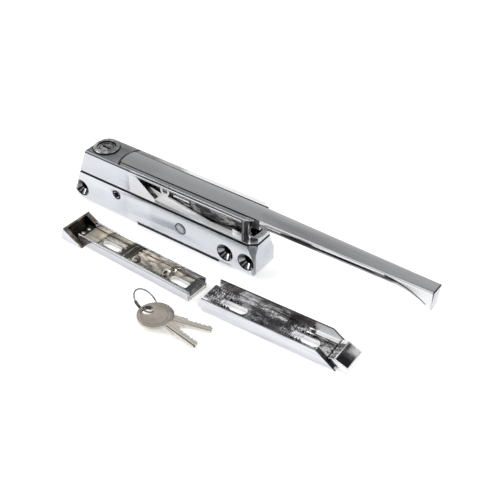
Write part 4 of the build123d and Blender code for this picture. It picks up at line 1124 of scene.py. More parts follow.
# Top of the lever: border line, darker inner end and dark tip
LEVER_SATIN = MetalFinish(
    "lever_satin", (0.575, 0.58, 0.59), (0.4, 0.403, 0.415), cover=(0.35, 0.7), patch=(0.012, 0.1, 0.1),
    rough=0.24, dull=0.3, grain=Grain.ALONG, streak=0.16, scratch=0.0025, ripple=0.03, wave=(0.015, 0.05, 0.05),
    zones=patches(
        (37, 38.5),
        ((37.5, 137), (4.2, 15.9), (0.5, 0.505, 0.515), 0.35, 0.15, 0.7),
        ((30, 58), (0, 20), (0.36, 0.363, 0.37), 12, 0, 0.8),
        ((244.8, 246), (0, 20), SEAM),
    ),
)
# Web of the lever: dark frayed patch, dark rim and the painted light bar that stands for the slot behind the rail
WEB_MARKED = replace(
    WEB_SHADED,
    name="web_marked",
    zones=(
        Patch((100, 108), (0, 20), (20, 26.5), (0.02, 0.02, 0.02), soft=1.5, fray=1.5, cover=0.8),
        Patch((75.6, 89.6), (0, 20), (26.9, 29.9), SEAM, soft=0.3, fray=0.2),
        Patch((76.6, 88.4), (0, 20), (27.6, 28.9), (1, 1, 1), soft=0.25, fray=0.15, matt=0.6),
    ),
)
# End face of the lever: its two dark edges
LEVER_END = replace(
    CASE_PLATE,
    name="lever_end",
    tone=(0.55, 0.56, 0.6),
    zones=(
        Patch((244.4, 246), (5, 6.5), (10, 38), (0.04, 0.04, 0.042)),
        Patch((244.4, 246), (5, 15), (37, 38), (0.04, 0.04, 0.042)),
    ),
)
# Underside of the lever: painted shade in dark wavy bands, and a patch of painted shade under the hook
LEVER_BELLY_SHADED = MetalFinish(
    "lever_belly_shaded", (0.3, 0.3, 0.315), (0.022, 0.022, 0.025), cover=(0.4, 0.5), patch=(0.035, 0.12, 0.16),
    rough=0.07, dull=0.12, grain=Grain.ALONG, streak=0.1, scratch=0.001, ripple=0.06, wave=(0.03, 0.2, 0.2),
    zones=(Patch((221, 237), WIDE, (10, 34), PAINTED_SHADE_DEEP, soft=1, fray=0.5),),
)
# Middle of the round that the hook's bend follows, seen from the side
HOOK_BEND: Tone = (215.4, 0, -9.1)
# Side of the lever: painted low shade, painted light on a facet, painted shade along the hook and in its crease, top
# line and corner
LEVER_SIDE = MetalFinish(
    "lever_side", (0.68, 0.685, 0.71), (0.34, 0.34, 0.35), cover=(0.5, 0.68), patch=(0.03, 0.1, 0.35),
    rough=0.07, dull=0.12, grain=Grain.ALONG, streak=0.05, scratch=0.001, ripple=0.06, wave=(0.03, 0.15, 0.15),
    zones=(
        Patch((142, 222), WIDE, (27, 35.6), PAINTED_SHADE_DIM, soft=0.4, fray=1.7, cover=0.92, drift=(0.045, 0.25, 0.25)),
        Patch((224, 250), WIDE, (10, 36.6), (0.86, 0.865, 0.88), soft=0.6, cover=0.9, matt=0.4),
        Rim(HOOK_BEND, 41.0, 44.7, (0.4, 0.4, 0.41), ROUND_Y, soft=0.4, cover=0.7, start=219.0, end=243.0),
        Rim(HOOK_BEND, 44.7, 45.7, SEAM, ROUND_Y, soft=0.2, cover=0.92, start=217.0, end=241.5),
        Patch((138, 246), WIDE, (37, 37.25), (0.08, 0.08, 0.085), soft=0.1),
        Patch((244.7, 246), WIDE, (10, 38), (0.05, 0.05, 0.052), cover=0.9),
    ),
)


@dataclass
class PullLever:
    """The lever: satin on top, polished at its sides, bare and in painted shade where it is hidden in the case.

    Attributes:
        place: Front left foot of the case, which the lever's sizes are counted from.
        top: Height of its top.
        middle: Its middle across the case.
        neck: Where its bare, shaded part ends.
        hook: Where its hook starts.
        half_web: Half the width of the web.
        slot: Limits of the web's slot along the lever.
        slot_z: Limits of the slot's height.
        rail: Height below which the bare part is hidden in the case.
    """

    place: Place
    top: float = 37.8
    middle: float = 10.0
    neck: float = 137.5
    hook: float = 220.8
    half_web: float = 5.25
    slot: Span = (78.4, 89.6)
    slot_z: Span = (29.4, 32.8)
    rail: float = 34.0

    def face(self, middle: Vector, normal: Vector) -> Finish:
        """Finish of a face of the lever.

        Args:
            middle: The face's middle on the piece's own axes.
            normal: Which way it looks.

        Returns:
            The finish.
        """
        if normal.z > AIMED and middle.z > self.top - 0.2:
            return LEVER_SATIN
        in_slot = self.slot[0] < middle.x < self.slot[1] and self.slot_z[0] < middle.z < self.slot_z[1]
        if in_slot and abs(normal.y) < 0.5:
            return CASE_LIT
        if middle.x < self.neck:
            hidden = abs(middle.y - self.middle) < self.half_web or middle.z < self.rail
            return WEB_MARKED if hidden else SHADED_EDGE
        if normal.x > 0.7:
            return LEVER_END
        if normal.z < -0.12 and (middle.x < self.hook or abs(normal.y) < 0.2):
            return LEVER_BELLY_SHADED
        return LEVER_SIDE

    def build(self, bench: Bench) -> None:
        """Shell and dress the lever."""
        bench.shells(self.place, ("handle", "handle", "polished_chrome", 0.22, self.face))


@dataclass
class KeyLock:
    """The lock in the case's top: trim ring, barrel, plug with its keyway, and the cam below.

    Attributes:
        place: Front left foot of the case.
        axis: The lock's axis, across the case's length and width.
        plug_z: Heights between which the plug's keyway lies open.
        keyway: How far from the axis the keyway reaches.
    """

    place: Place
    axis: Tone = (20.6, 10.0, 0.0)
    plug_z: Span = (24.0, 36.0)
    keyway: float = 3.6

    def turned(self, name: str, tone: Tone, shade: Tone, *rims: tuple[float, ...]) -> TurnedFinish:
        """A finish turned about the lock's axis, with dark rings of given radii and cover."""
        zones = tuple(Rim(self.axis, *radii, soft=0.15, cover=cover) for *radii, cover in rims)
        return TurnedFinish(name, self.axis, ROUND_Z, tone, shade, rays=1.3, rough=0.22, line=0.3, zones=zones)

    def plug_face(self, middle: Vector, normal: Vector) -> Finish:
        """Finish of the plug: turned end and a keyway painted black as shade.

        Args:
            middle: The face's middle on the piece's own axes.
            normal: Which way it looks.

        Returns:
            The finish.
        """
        foot, top = self.plug_z
        if normal.z > AIMED and middle.z > top:
            return self.turned("plug_end", (0.55, 0.54, 0.53), (0.2, 0.2, 0.2), (3.95, 4.4, 1.0))
        if math.hypot(middle.x - self.axis[0], middle.y - self.axis[1]) < self.keyway and middle.z > foot:
            return BLACK_RUBBER_AND_SHADE
        return PLAIN_STEEL

    def barrel_face(self, middle: Vector, normal: Vector) -> Finish:
        """Finish of the barrel, whose rim shows round the plug.

        Args:
            middle: The face's middle on the piece's own axes; not used.
            normal: Which way it looks.

        Returns:
            The finish.
        """
        if normal.z > AIMED:
            return self.turned("barrel_rim", (0.48, 0.48, 0.48), (0.2, 0.2, 0.2), (4.2, 4.5, 1.0))
        return PLAIN_STEEL

    def build(self, bench: Bench) -> None:
        """Shell and dress the lock.

        Args:
            bench: The loaded frame and its materials.
        """
        rims = ((5.7, 6.05, 1.0), (8.02, 8.5, 0.9))
        bezel = self.turned("bezel_ring", (0.62, 0.62, 0.63), (0.25, 0.25, 0.255), *rims)
        bench.shells(
            self.place,
            ("lock_bezel", "latch", "lock_nickel", 0.1, bezel),
            ("lock_plug", "lock", "lock_nickel", 0.08, self.plug_face),
            ("lock_barrel", "latch", "lock_nickel", 0.08, self.barrel_face),
        )
        bench.dress(self.place, PLAIN_STEEL, "lock_cam", "cam_screw", "lock_clip")


POLE_PLATE = MetalFinish(
    "pole_plate", (0.05, 0.052, 0.055), (0.02, 0.02, 0.022), patch=(0.05, 0.2, 0.2), rough=0.4, dull=0.5,
    grain=Grain.ALONG, streak=0.3, scratch=0.005,
)
TURNED_BRASS = MetalFinish(
    "turned_brass", (0.62, 0.44, 0.2), (0.4, 0.27, 0.12), patch=(0.3, 0.3, 0.3), rough=0.22, dull=0.35
)


@dataclass
class MagnetPack:
    """The magnets between their pole plates, with the release plunger and its spring.

    Attributes:
        place: Front left foot of the case.
    """

    place: Place

    def build(self, bench: Bench) -> None:
        """Dress the pack and stand the spring in.

        Args:
            bench: The loaded frame and its materials.
        """
        bench.dress(self.place, POLE_PLATE, "pole_plate_front", "pole_plate_back")
        bench.dress(self.place, MouldedFinish("carrier_plastic", (0.015, 0.015, 0.016), 0.45), "magnet_carrier")
        bench.dress(self.place, MouldedFinish("ferrite", (0.03, 0.03, 0.032), 0.7, pits=0.04), "magnets")
        bench.dress(self.place, TURNED_BRASS, "release_plunger")
        self.spring(bench)

    def spring(self, bench: Bench) -> None:
        """Stand a coil in for the plunger's spring, fixed where it lies.

        Args:
            bench: The loaded frame and its materials.
        """
        wire = replace(PLAIN_STEEL, name="spring_wire", tone=(0.3, 0.3, 0.31), streak=0.25)
        piece = bench.closed("spring_coil", bench.opened("plunger_spring", MERGE_FINE), self.place, wire)
        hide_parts("plunger_spring")
        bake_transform(piece)
        LOG.info("built %s from latch to plunger, %d faces", piece.name, len(piece.data.polygons))


STRIKE_PLATE = MetalFinish(
    "strike_plate", (0.7, 0.71, 0.745), (0.56, 0.57, 0.61), cover=(0.45, 0.75), patch=(0.04, 0.1, 0.3),
    rough=0.14, dull=0.26, grain=Grain.ALONG, streak=0.05, scratch=0.0015, ripple=0.025, wave=(0.04, 0.1, 0.1),
)
LIP_A = MetalFinish(
    "channel_lip", (0.86, 0.87, 0.89), (0.7, 0.7, 0.71), cover=(0.5, 0.7), patch=(0.05, 0.2, 0.2),
    rough=0.12, dull=0.3, grain=Grain.ALONG, zones=(Patch((-1, 88), (0.75, 15.05), (6, 8), SEAM, soft=0.1, cover=0.9),),
)
# Inside of the left channel: painted shade at its foot, and a dark line at its lip
INSIDE_A = MetalFinish(
    "channel_inside", (0.8, 0.79, 0.77), (0.55, 0.53, 0.5), cover=(0.5, 0.7), patch=(0.07, 0.2, 0.4),
    rough=0.08, dull=0.2, grain=Grain.ALONG, streak=0.2,
    zones=(
        Patch((-1, 90), (0, 16), (2, 3), (0.05, 0.046, 0.04), soft=0.3, cover=0.9),
        Patch((-1, 90), (0, 16), (5.7, 6.2), (0.04, 0.04, 0.04), soft=0.12, cover=0.9),
    ),
)
# Outside of the left channel: dark edge and end
OUTSIDE_A = replace(
    STRIKE_PLATE,
    name="channel_plate",
    tone=(0.61, 0.62, 0.65),
    zones=(
        Patch((-1, 88), (-1, 0.3), (5.5, 5.95), (0.07, 0.07, 0.075), soft=0.12, cover=0.85),
        Patch((85.9, 87), (-1, 17), (-1, 8), (0.1, 0.1, 0.105), cover=0.8),
    ),
)
# Cast floor: rear and front dark patches, left end, seam, crease, ribs with a painted glint and a brush mark, painted
# shade and far end
CAST_FLOOR = MetalFinish(
    "cast_floor", (0.62, 0.585, 0.515), (0.2, 0.18, 0.155), cover=(0.46, 0.66), patch=(0.2, 0.45, 0.45),
    rough=0.3, dull=0.45, grain=Grain.DOWN, streak=0.25, scratch=0.006, ripple=0.09, wave=(0.35, 0.45, 0.45),
    zones=(
        *patches(
            (0, 6),
            ((37, 60), (9, 15), (0.2, 0.17, 0.14), 2, 3, 0.55),
            ((46, 62), (1, 5), (0.1, 0.09, 0.08), 1, 2.4, 0.7),
            ((0, 11), (0, 16), (0.52, 0.47, 0.385), 0.4, 0.3, 0.75),
            ((11, 11.7), (0, 16), (0.06, 0.055, 0.045), 0.15),
            ((0, 27), (7.7, 8.1), (0.1, 0.09, 0.08), 0.15, 0, 0.7),
            ((28, 38), (0, 16), (0.085, 0.078, 0.066), 1.4, 2),
        ),
        *patches(
            (3, 6),
            ((31.6, 32.3), (1, 15), (0.5, 0.48, 0.45), 0.3, 0.3, 0.8),
            ((35.2, 35.8), (1, 15), (0.4, 0.38, 0.34), 0.3, 0.3, 0.7),
        ),
        *patches(
            (0, 6),
            ((62, 69), (1, 5), (0.12, 0.11, 0.1), 1.5, 2.5, 0.7),
            ((79.5, 86.4), (0, 16), (0.16, 0.16, 0.158), 0.8, 1.2),
        ),
    ),
)
EYELET = MetalFinish(
    "eyelet", (0.74, 0.71, 0.66), (0.1, 0.09, 0.08), cover=(0.48, 0.58), patch=(0.4, 0.4, 0.4),
    rough=0.2, dull=0.35, streak=0.2, ripple=0.04, wave=(0.5, 0.5, 0.5),
)
STOP_BLOCK = MetalFinish(
    "stop_block", (0.15, 0.15, 0.15), (0.4, 0.4, 0.4), cover=(0.52, 0.64), patch=(0.5, 0.15, 0.5),
    rough=0.28, dull=0.4, grain=Grain.ACROSS, streak=0.4,
)
# Inside of the hood, with two bright spots of painted light
HOOD_INSIDE = MetalFinish(
    "hood_inside", (0.19, 0.165, 0.145), (0.5, 0.44, 0.37), cover=(0.46, 0.7), patch=(0.15, 0.2, 0.25),
    rough=0.22, dull=0.3, streak=0.2, ripple=0.05, wave=(0.2, 0.2, 0.2),
    zones=(
        Patch((-8, -1), (6.2, 8.4), (0.5, 9), (0.75, 0.72, 0.68), soft=0.7, fray=0.5, cover=0.9),
        Patch((-9.5, -6), (9.5, 12.6), (4, 9), (0.45, 0.4, 0.34), soft=1.2, fray=0.8, cover=0.7),
    ),
)
HOOD_CUT = MetalFinish(
    "hood_cut", (0.045, 0.042, 0.04), (0.14, 0.13, 0.12), cover=(0.54, 0.68), patch=(0.3, 0.3, 0.3),
    rough=0.25, dull=0.35, streak=0.3,
)


@dataclass
class LeftStrike:
    """The left strike: folded channel, raw cast floor, eyelets, stop block and hood.

    Attributes:
        place: Its front left foot on the table.
        width: Width over its walls.
        wall: Sheet thickness.
        flare: How far the hood's outer sides stand out past the channel.
        lip: Height above which a face that looks up is a lip.
    """

    place: Place
    width: float = 15.8
    wall: float = 1.0
    flare: float = 2.9
    lip: float = 5.0

    def channel_face(self, middle: Vector, normal: Vector) -> Finish:
        """Finish of a face of the channel: light outside, shaded inside and at its lips.

        Args:
            middle: The face's middle on the piece's own axes.
            normal: Which way it looks.

        Returns:
            The finish.
        """
        if normal.z > AIMED and middle.z > self.lip:
            return LIP_A
        inside = min(middle.y, self.width - middle.y) > self.wall - 0.2 and middle.z > self.wall - 0.1
        return INSIDE_A if inside else OUTSIDE_A

    def floor_face(self, middle: Vector, normal: Vector) -> Finish:
        """Finish of the cast floor: warm and mottled on top, bright in the slots."""
        return CAST_FLOOR if normal.z > 0.4 else replace(BRIGHT_METAL, name="slot_rim", tone=(0.7, 0.69, 0.67))

    def hood_face(self, middle: Vector, normal: Vector) -> Finish:
        """Finish of the hood: light outside, brown-black inside and on its cut faces.

        Args:
            middle: The face's middle on the piece's own axes.
            normal: Which way it looks.

        Returns:
            The finish.
        """
        inside = 0.05 < middle.y < self.width - 0.05
        outer = middle.y < -self.flare or middle.y > self.width + self.flare
        if normal.z < -AIMED or normal.x < -0.5 or (abs(normal.y) > AIMED and outer):
            return STRIKE_PLATE
        return HOOD_INSIDE if inside and normal.x > 0.2 else HOOD_CUT

    def build(self, bench: Bench) -> None:
        """Shell and dress the left strike.

        Args:
            bench: The loaded frame and its materials.
        """
        bench.shells(
            self.place,
            ("strike_a_channel", "strike_a", "polished_chrome", 0.18, self.channel_face),
            ("strike_a_floor", "strike_a", "raw_casting", 0.12, self.floor_face),
            ("strike_a_eyelets", "strike_a", "plain_steel", 0.12, EYELET),
            ("strike_a_stop", "strike_a", "raw_casting", 0.12, STOP_BLOCK),
            ("strike_a_hood", "strike_a", "polished_chrome", 0.25, self.hood_face),
        )


# Chrome over a rough casting, painted dark and full of bright wavy painted glints, lighter or darker in large frayed
# spots of painted light and shade
PLATE_PAINTED_GLINTS = MetalFinish(
    "plate_painted_glints", (0.15, 0.15, 0.153), (0.8, 0.8, 0.82), cover=(0.48, 0.6), patch=(0.14, 0.5, 0.4),
    rough=0.1, dull=0.16, streak=0.35, scratch=0.012, ripple=0.16, wave=(0.25, 0.7, 0.5),
    zones=(
        *patches(
            (3, 9),
            ((64, 90), (15.2, 21), (0.95, 0.95, 0.96), 0.5, 0.5, 1, 0.8),
            ((7, 12.5), (11.5, 15), (0.8, 0.8, 0.82), 0.7, 1.2, 0.8, 0.4),
            ((3, 25), (10.5, 19), (0.62, 0.62, 0.64), 1.5, 3.5, 0.55),
            ((28, 46), (2, 18), (0.07, 0.07, 0.072), 2.5, 5, 0.6),
        ),
        Patch((-3, 0.8), (-1, 6.5), (0, 9), (0.95, 0.95, 0.96), soft=0.4, matt=0.8),
        *patches(
            (3, 9),
            ((66, 79), (1, 9), (0.9, 0.9, 0.91), 2, 3.5, 0.85, 0.4),
            ((47.5, 52), (1, 19), (0.1, 0.1, 0.103), 1.2, 2.6, 0.8),
            ((51.5, 58.5), (11, 15), (0.85, 0.85, 0.86), 0.7, 1.4, 0.85, 0.5),
            ((71, 77), (2, 9), (0.7, 0.7, 0.71), 1.2, 2.5, 0.7),
        ),
    ),
)
# Tops of the right channel's walls, painted dark as shade but for a thin light front edge
LIP_B = MetalFinish(
    "lip_b", (0.75, 0.75, 0.76), (0.4, 0.4, 0.4), cover=(0.52, 0.62), patch=(0.06, 0.2, 0.2),
    rough=0.12, dull=0.3, grain=Grain.ALONG, zones=(Patch((-1, 90), (0.5, 21), (5, 9), PAINTED_SHADE_DIM, cover=0.9),),
)
# Inside of the right channel, with light wavy painted glints: dark start, brown middle and painted light on the white
# end of its back wall
INSIDE_B = MetalFinish(
    "wall_inside", (0.36, 0.355, 0.355), (0.8, 0.79, 0.79), cover=(0.48, 0.64), patch=(0.05, 0.3, 0.5),
    rough=0.14, dull=0.25, grain=Grain.ALONG, streak=0.4, ripple=0.08, wave=(0.1, 0.4, 0.4),
    zones=(
        Patch((2, 14), (17, 21), (2.5, 8), (0.1, 0.09, 0.085), soft=1.5, fray=1.6, cover=0.85),
        Patch((46, 61.5), (17, 21), (2.5, 8), (0.13, 0.12, 0.11), soft=0.6, fray=0.8, matt=0.3),
        Patch((62.5, 90), (17, 21), (2, 9), (0.74, 0.745, 0.75), soft=0.8, fray=0.4, matt=0.8),
    ),
)
# Plating of the nose, with painted light at its end so that it fades into the white table
NOSE_PLATE = replace(
    STRIKE_PLATE,
    name="nose_plate",
    tone=(0.8, 0.81, 0.82),
    zones=(Patch((86, 94), (1, 19), (-1, 5), (0.97, 0.97, 0.98), soft=1.5, matt=0.4, cover=0.9),),
)
# Black pad, painted lighter towards its far back corner as a highlight
PAD_PAINTED_HIGHLIGHT = MouldedFinish(
    "pad_painted_highlight", (0.008, 0.008, 0.01), 0.6, shine=0.1,
    zones=patches(
        (0, 8),
        ((84, 93), (9.5, 19), (0.12, 0.12, 0.12), 2.5, 0.8, 0.7),
        ((86.5, 93), (13, 19), (0.62, 0.62, 0.62), 2.6, 0.7),
    ),
)
BURR_METAL = MetalFinish(
    "burr_metal", (0.9, 0.9, 0.91), (0.05, 0.05, 0.05), cover=(0.47, 0.53), patch=(0.9, 0.9, 0.9),
    rough=0.12, dull=0.2, streak=0.1, scratch=0.004, ripple=0.03, wave=(0.8, 0.8, 0.8),
)


@dataclass
class RightStrike:
    """The right strike: folded channel, toothed plate, ramped nose and its black pad.

    Attributes:
        place: Its front left foot on the table.
        slope_end: Where the nose's left slope ends.
        width: Width over its walls.
        wall: Sheet thickness.
        floor: Height of the plate's top.
        slots: Middle of each slot along the plate.
        line: Middle of the slots across it.
        slot: Length and width of a slot.
        rim: How far past a slot's edge its bright rim counts.
        burr: Pitch, width and height of the burrs beside a slot.
        burr_rows: Side, distance from the slot's edge and number of burrs of each row.
        burr_start: Distance of the first burr from the slot's left end.
        burr_sink: How deep the burrs stand in the plate.
        lip: Height above which a face that looks up is a lip.
        flange_rows: Along the front wall's slanted end, the flange's place, height and how far it reaches in.
        flange_start: Where the flange starts inside the wall.
        flange_drop: How far the flange's thickness goes back and down.
    """

    place: Place
    slope_end: float = 83.0
    width: float = 20.0
    wall: float = 1.0
    floor: float = 3.8
    slots: Span = (15.9, 61.9)
    line: float = 9.0
    slot: Span = (17.4, 6.0)
    rim: float = 0.3
    burr: Tone = (1.95, 1.8, 2.5)
    burr_rows: tuple[tuple[str, float, int], ...] = (("back", 0.5, 6), ("front", -0.3, 4))
    burr_start: float = 1.0
    burr_sink: float = 0.15
    lip: float = 5.0
    flange_rows: tuple[Tone, ...] = ((72.9, 8.5, 3.5), (79.2, 4.15, 3.3), (79.7, 3.75, 1.85), (83.7, 1.0, 1.85))
    flange_start: float = 0.95
    flange_drop: Span = (0.45, 0.62)

    def channel_face(self, middle: Vector, normal: Vector) -> Finish:
        """Finish of a face of the channel: light outside, dark with wavy painted glints inside, and in painted shade on
        its slanted ends.

        Args:
            middle: The face's middle on the piece's own axes.
            normal: Which way it looks.

        Returns:
            The finish.
        """
        if normal.z > AIMED and middle.z > self.lip:
            return LIP_B
        if normal.x > 0.3 and normal.z > 0.2 and middle.z > 0.8:
            return SHADED_EDGE
        inside = min(middle.y, self.width - middle.y) > self.wall - 0.2 and middle.z > self.wall - 0.1
        return INSIDE_B if inside else STRIKE_PLATE

    def plate_face(self, middle: Vector, normal: Vector) -> Finish:
        """Finish of a face of the toothed plate, bright in the slots.

        Args:
            middle: The face's middle on the piece's own axes.
            normal: Which way it looks.

        Returns:
            The finish.
        """
        along, across = (size / 2 + self.rim for size in self.slot)
        for centre in self.slots:
            if abs(middle.x - centre) < along and abs(middle.y - self.line) < across and abs(normal.z) < 0.6:
                return replace(BRIGHT_METAL, name="slot_rim_b", tone=(0.8, 0.8, 0.81))
        return PLATE_PAINTED_GLINTS

    def nose_face(self, middle: Vector, normal: Vector) -> Finish:
        """Finish of a face of the nose: dark with painted glints on its left slope, light round the pad, and painted
        light at its end.

        Args:
            middle: The face's middle on the piece's own axes.
            normal: Which way it looks.

        Returns:
            The finish.
        """
        if middle.x < self.slope_end and normal.z > 0.5:
            return replace(PLATE_PAINTED_GLINTS, name="nose_slope")
        return SHADED_EDGE if normal.x < -0.6 or normal.z < -0.6 else NOSE_PLATE

    def burrs(self, bench: Bench) -> None:
        """Grow the rows of burrs that lean over the left half of each slot.

        Args:
            bench: The loaded frame and its materials.
        """
        recipe = ToothRow()
        material = bench.material(BURR_METAL, self.place)
        pitch, wide, high = self.burr
        for index, centre in enumerate(self.slots):
            left = centre - self.slot[0] / 2
            for side, gap, count in self.burr_rows:
                shift = math.copysign(self.slot[1] / 2, gap) + gap
                mesh = recipe.grow(
                    self.place.matrix(),
                    Count=count,
                    Step=(pitch, 0.0, 0.0),
                    Start=(left + self.burr_start, self.line + shift, self.floor - self.burr_sink),
                    Size=(wide, wide, high),
                    Finish=material,
                )
                bench.hang(link(f"burrs_{side}_{index + 1}", mesh), "strike_b", "plate_chrome")

    def flange(self, bench: Bench) -> None:
        """Bend the narrow flange, dark in painted shade, inwards along the front wall's slanted end.

        Args:
            bench: The loaded frame and its materials.
        """
        form = bmesh.new()
        start, (back, down) = self.flange_start, self.flange_drop
        rings = []
        for x, z, inner in self.flange_rows:
            corners = ((x, start, z), (x, inner, z), (x - back, inner, z - down), (x - back, start, z - down))
            rings.append([form.verts.new(corner) for corner in corners])
        for first, second in zip(rings, rings[1:]):
            for index in range(4):
                after = (index + 1) % 4
                form.faces.new((first[index], first[after], second[after], second[index]))
        form.faces.new(rings[0])
        form.faces.new(rings[-1])
        bmesh.ops.recalc_face_normals(form, faces=form.faces)
        bmesh.ops.transform(form, matrix=self.place.matrix(), verts=form.verts)
        stand = bench.closed("wall_flange_stand", form, self.place, replace(SHADED_EDGE, name="flange_shade"))
        bench.hang(bench.rounded("wall_flange", stand, 0.12), "strike_b", "polished_chrome")

    def build(self, bench: Bench) -> None:
        """Shell, dress and grow the right strike.

        Args:
            bench: The loaded frame and its materials.
        """
        bench.shells(
            self.place,
            ("strike_b_channel", "strike_b", "polished_chrome", 0.18, self.channel_face),
            ("strike_b_plate", "strike_b", "plate_chrome", 0.14, self.plate_face),
            ("strike_b_nose", "strike_b", "polished_chrome", 0.2, self.nose_face),
        )
        bench.dress(self.place, PAD_PAINTED_HIGHLIGHT, "strike_b_pad")
        self.burrs(bench)
        self.flange(bench)


@dataclass
class KeySet:
    """Two keys on a wire ring that a crimped sleeve closes.

    Attributes:
        upper: Ring hole of the upper key and its turn.
        lower: Ring hole of the lower key and its turn.
        bow: The bow's middle, counted from the ring hole.
        hole: How far from its middle the walls of the ring hole count.
        grooves: How strongly the blade's groove is shaded on the upper and on the lower key.
        ring_centre: Middle of the ring in millimetres of the frame.
        ring: Radius of the ring.
        wire: Radius of its wire.
        sleeve: Radius of its sleeve.
        sleeve_arc: Where the sleeve starts on the ring and how far it reaches, in degrees.
        crimps: How many times the sleeve is pinched.
        crimp: Share of its radius by which it is pinched.
        tilt: How far the ring's plane leans, in degrees.
        fall: Direction in which it falls.
    """

    upper: Place = Place(-13.221, -34.768, 0.0, -6.9)
    lower: Place = Place(-13.221, -34.768, 0.0, 17.5)
    bow: Tone = (5.2, 0.0, 0.0)
    hole: float = 3.6
    grooves: Span = (1.0, 0.45)
    ring_centre: Tone = (-18.932, -29.978, 5.399)
    ring: float = 7.7
    wire: float = 0.45
    sleeve: float = 0.87
    sleeve_arc: Span = (106.0, 34.0)
    crimps: float = 5.0
    crimp: float = 0.05
    tilt: float = 40.0
    fall: float = 32.0

    def key_face(self, nickel: MetalFinish, middle: Vector, normal: Vector) -> Finish:
        """Finish of a face of a key: painted shade in the ring hole, worn nickel elsewhere.

        Args:
            nickel: The key's own finish.
            middle: The face's middle on the piece's own axes.
            normal: Which way it looks.

        Returns:
            The finish.
        """
        if math.hypot(middle.x, middle.y) < self.hole and middle.x < 0.6 and abs(normal.z) < 0.6:
            return replace(SHADED_EDGE, name="hole_shade")
        return nickel

    def nickel(self, name: str, groove: float) -> MetalFinish:
        """Worn nickel with the engraved rings of the bow, and a blade groove in painted shade as strong as given, with
        a painted light line beside it.

        Args:
            name: Name of the finish.
            groove: How strongly the groove is shaded.

        Returns:
            The finish.
        """
        dark = (0.14, 0.12, 0.1)
        zones = (
            Rim(self.bow, 7.4, 7.7, dark, soft=0.15, cover=0.55),
            Rim(self.bow, 8.3, 8.55, (0.66, 0.62, 0.57), soft=0.15, cover=0.8),
            Rim(self.bow, 8.9, 9.15, dark, cover=0.5),
            *patches(
                (-2, 6),
                ((15, 40), (-4, 4), (0.8, 0.76, 0.7), 0.8, 0, 0.7, 0.3),
                ((15.5, 40), (-1.5, -0.75), (0.1, 0.088, 0.078), 0.12, 0, groove),
                ((15.5, 40), (-2.2, -1.7), (0.85, 0.81, 0.76), 0.12, 0, 0.8, 0.3),
                ((15.5, 40), (0.4, 0.7), (0.3, 0.27, 0.24), 0.12, 0, 0.7),
            ),
        )
        return MetalFinish(
            name, (0.66, 0.605, 0.54), (0.5, 0.445, 0.385), cover=(0.45, 0.7), patch=(0.12, 0.12, 0.12),
            rough=0.3, dull=0.42, streak=0.12, scratch=0.003, ripple=0.03, wave=(0.12, 0.12, 0.12), zones=zones,
        )

    def wire_place(self) -> Matrix:
        """Matrix from the flat ring, lying in its own plane, to the frame.

        Returns:
            The matrix.
        """
        turn, tilt = math.radians(self.fall), math.radians(self.tilt)
        down = Vector((math.cos(turn) * math.cos(tilt), math.sin(turn) * math.cos(tilt), -math.sin(tilt)))
        level = Vector((-math.sin(turn), math.cos(turn), 0.0))
        axes = Matrix((down, -level, down.cross(-level))).transposed().to_4x4()
        return Matrix.Translation(Vector(self.ring_centre) * MM) @ axes @ Matrix.Scale(MM, 4)

    def build(self, bench: Bench) -> None:
        """Shell the keys, then bend the ring and its sleeve.

        Args:
            bench: The loaded frame and its materials.
        """
        for node, body, place, groove in (
            ("key_upper", "upper_key", self.upper, self.grooves[0]),
            ("key_lower", "lower_key", self.lower, self.grooves[1]),
        ):
            face = partial(self.key_face, self.nickel(node + "_nickel", groove))
            bench.shells(place, (node, body, "key_nickel", 0.14, face))
        recipe = BentWire()
        loop = {"Wire": self.wire, "From": 0.0, "Sweep": math.tau * 0.9999, "Points": 96, "Waves": 0.0, "Crimp": 0.0}
        start, sweep = (math.radians(angle) for angle in self.sleeve_arc)
        tube = {
            "Wire": self.sleeve, "From": start, "Sweep": sweep, "Points": 32, "Waves": self.crimps, "Crimp": self.crimp
        }
        steel = replace(PLAIN_STEEL, name="ring_wire", tone=(0.3, 0.29, 0.28), stain_and_shading=(0.16, 0.15, 0.14))
        dark = replace(PLAIN_STEEL, name="sleeve_steel", tone=(0.14, 0.135, 0.13), stain_and_shading=(0.06, 0.06, 0.06))
        for name, node, finish, values in (
            ("ring_loop", "key_ring", steel, loop), ("crimped_sleeve", "ring_sleeve", dark, tube)
        ):
            material = bench.material(finish, Place())
            mesh = recipe.grow(self.wire_place(), Radius=self.ring, Finish=material, **values)
            bench.hang(link(name, mesh), "ring", "plain_steel", node)


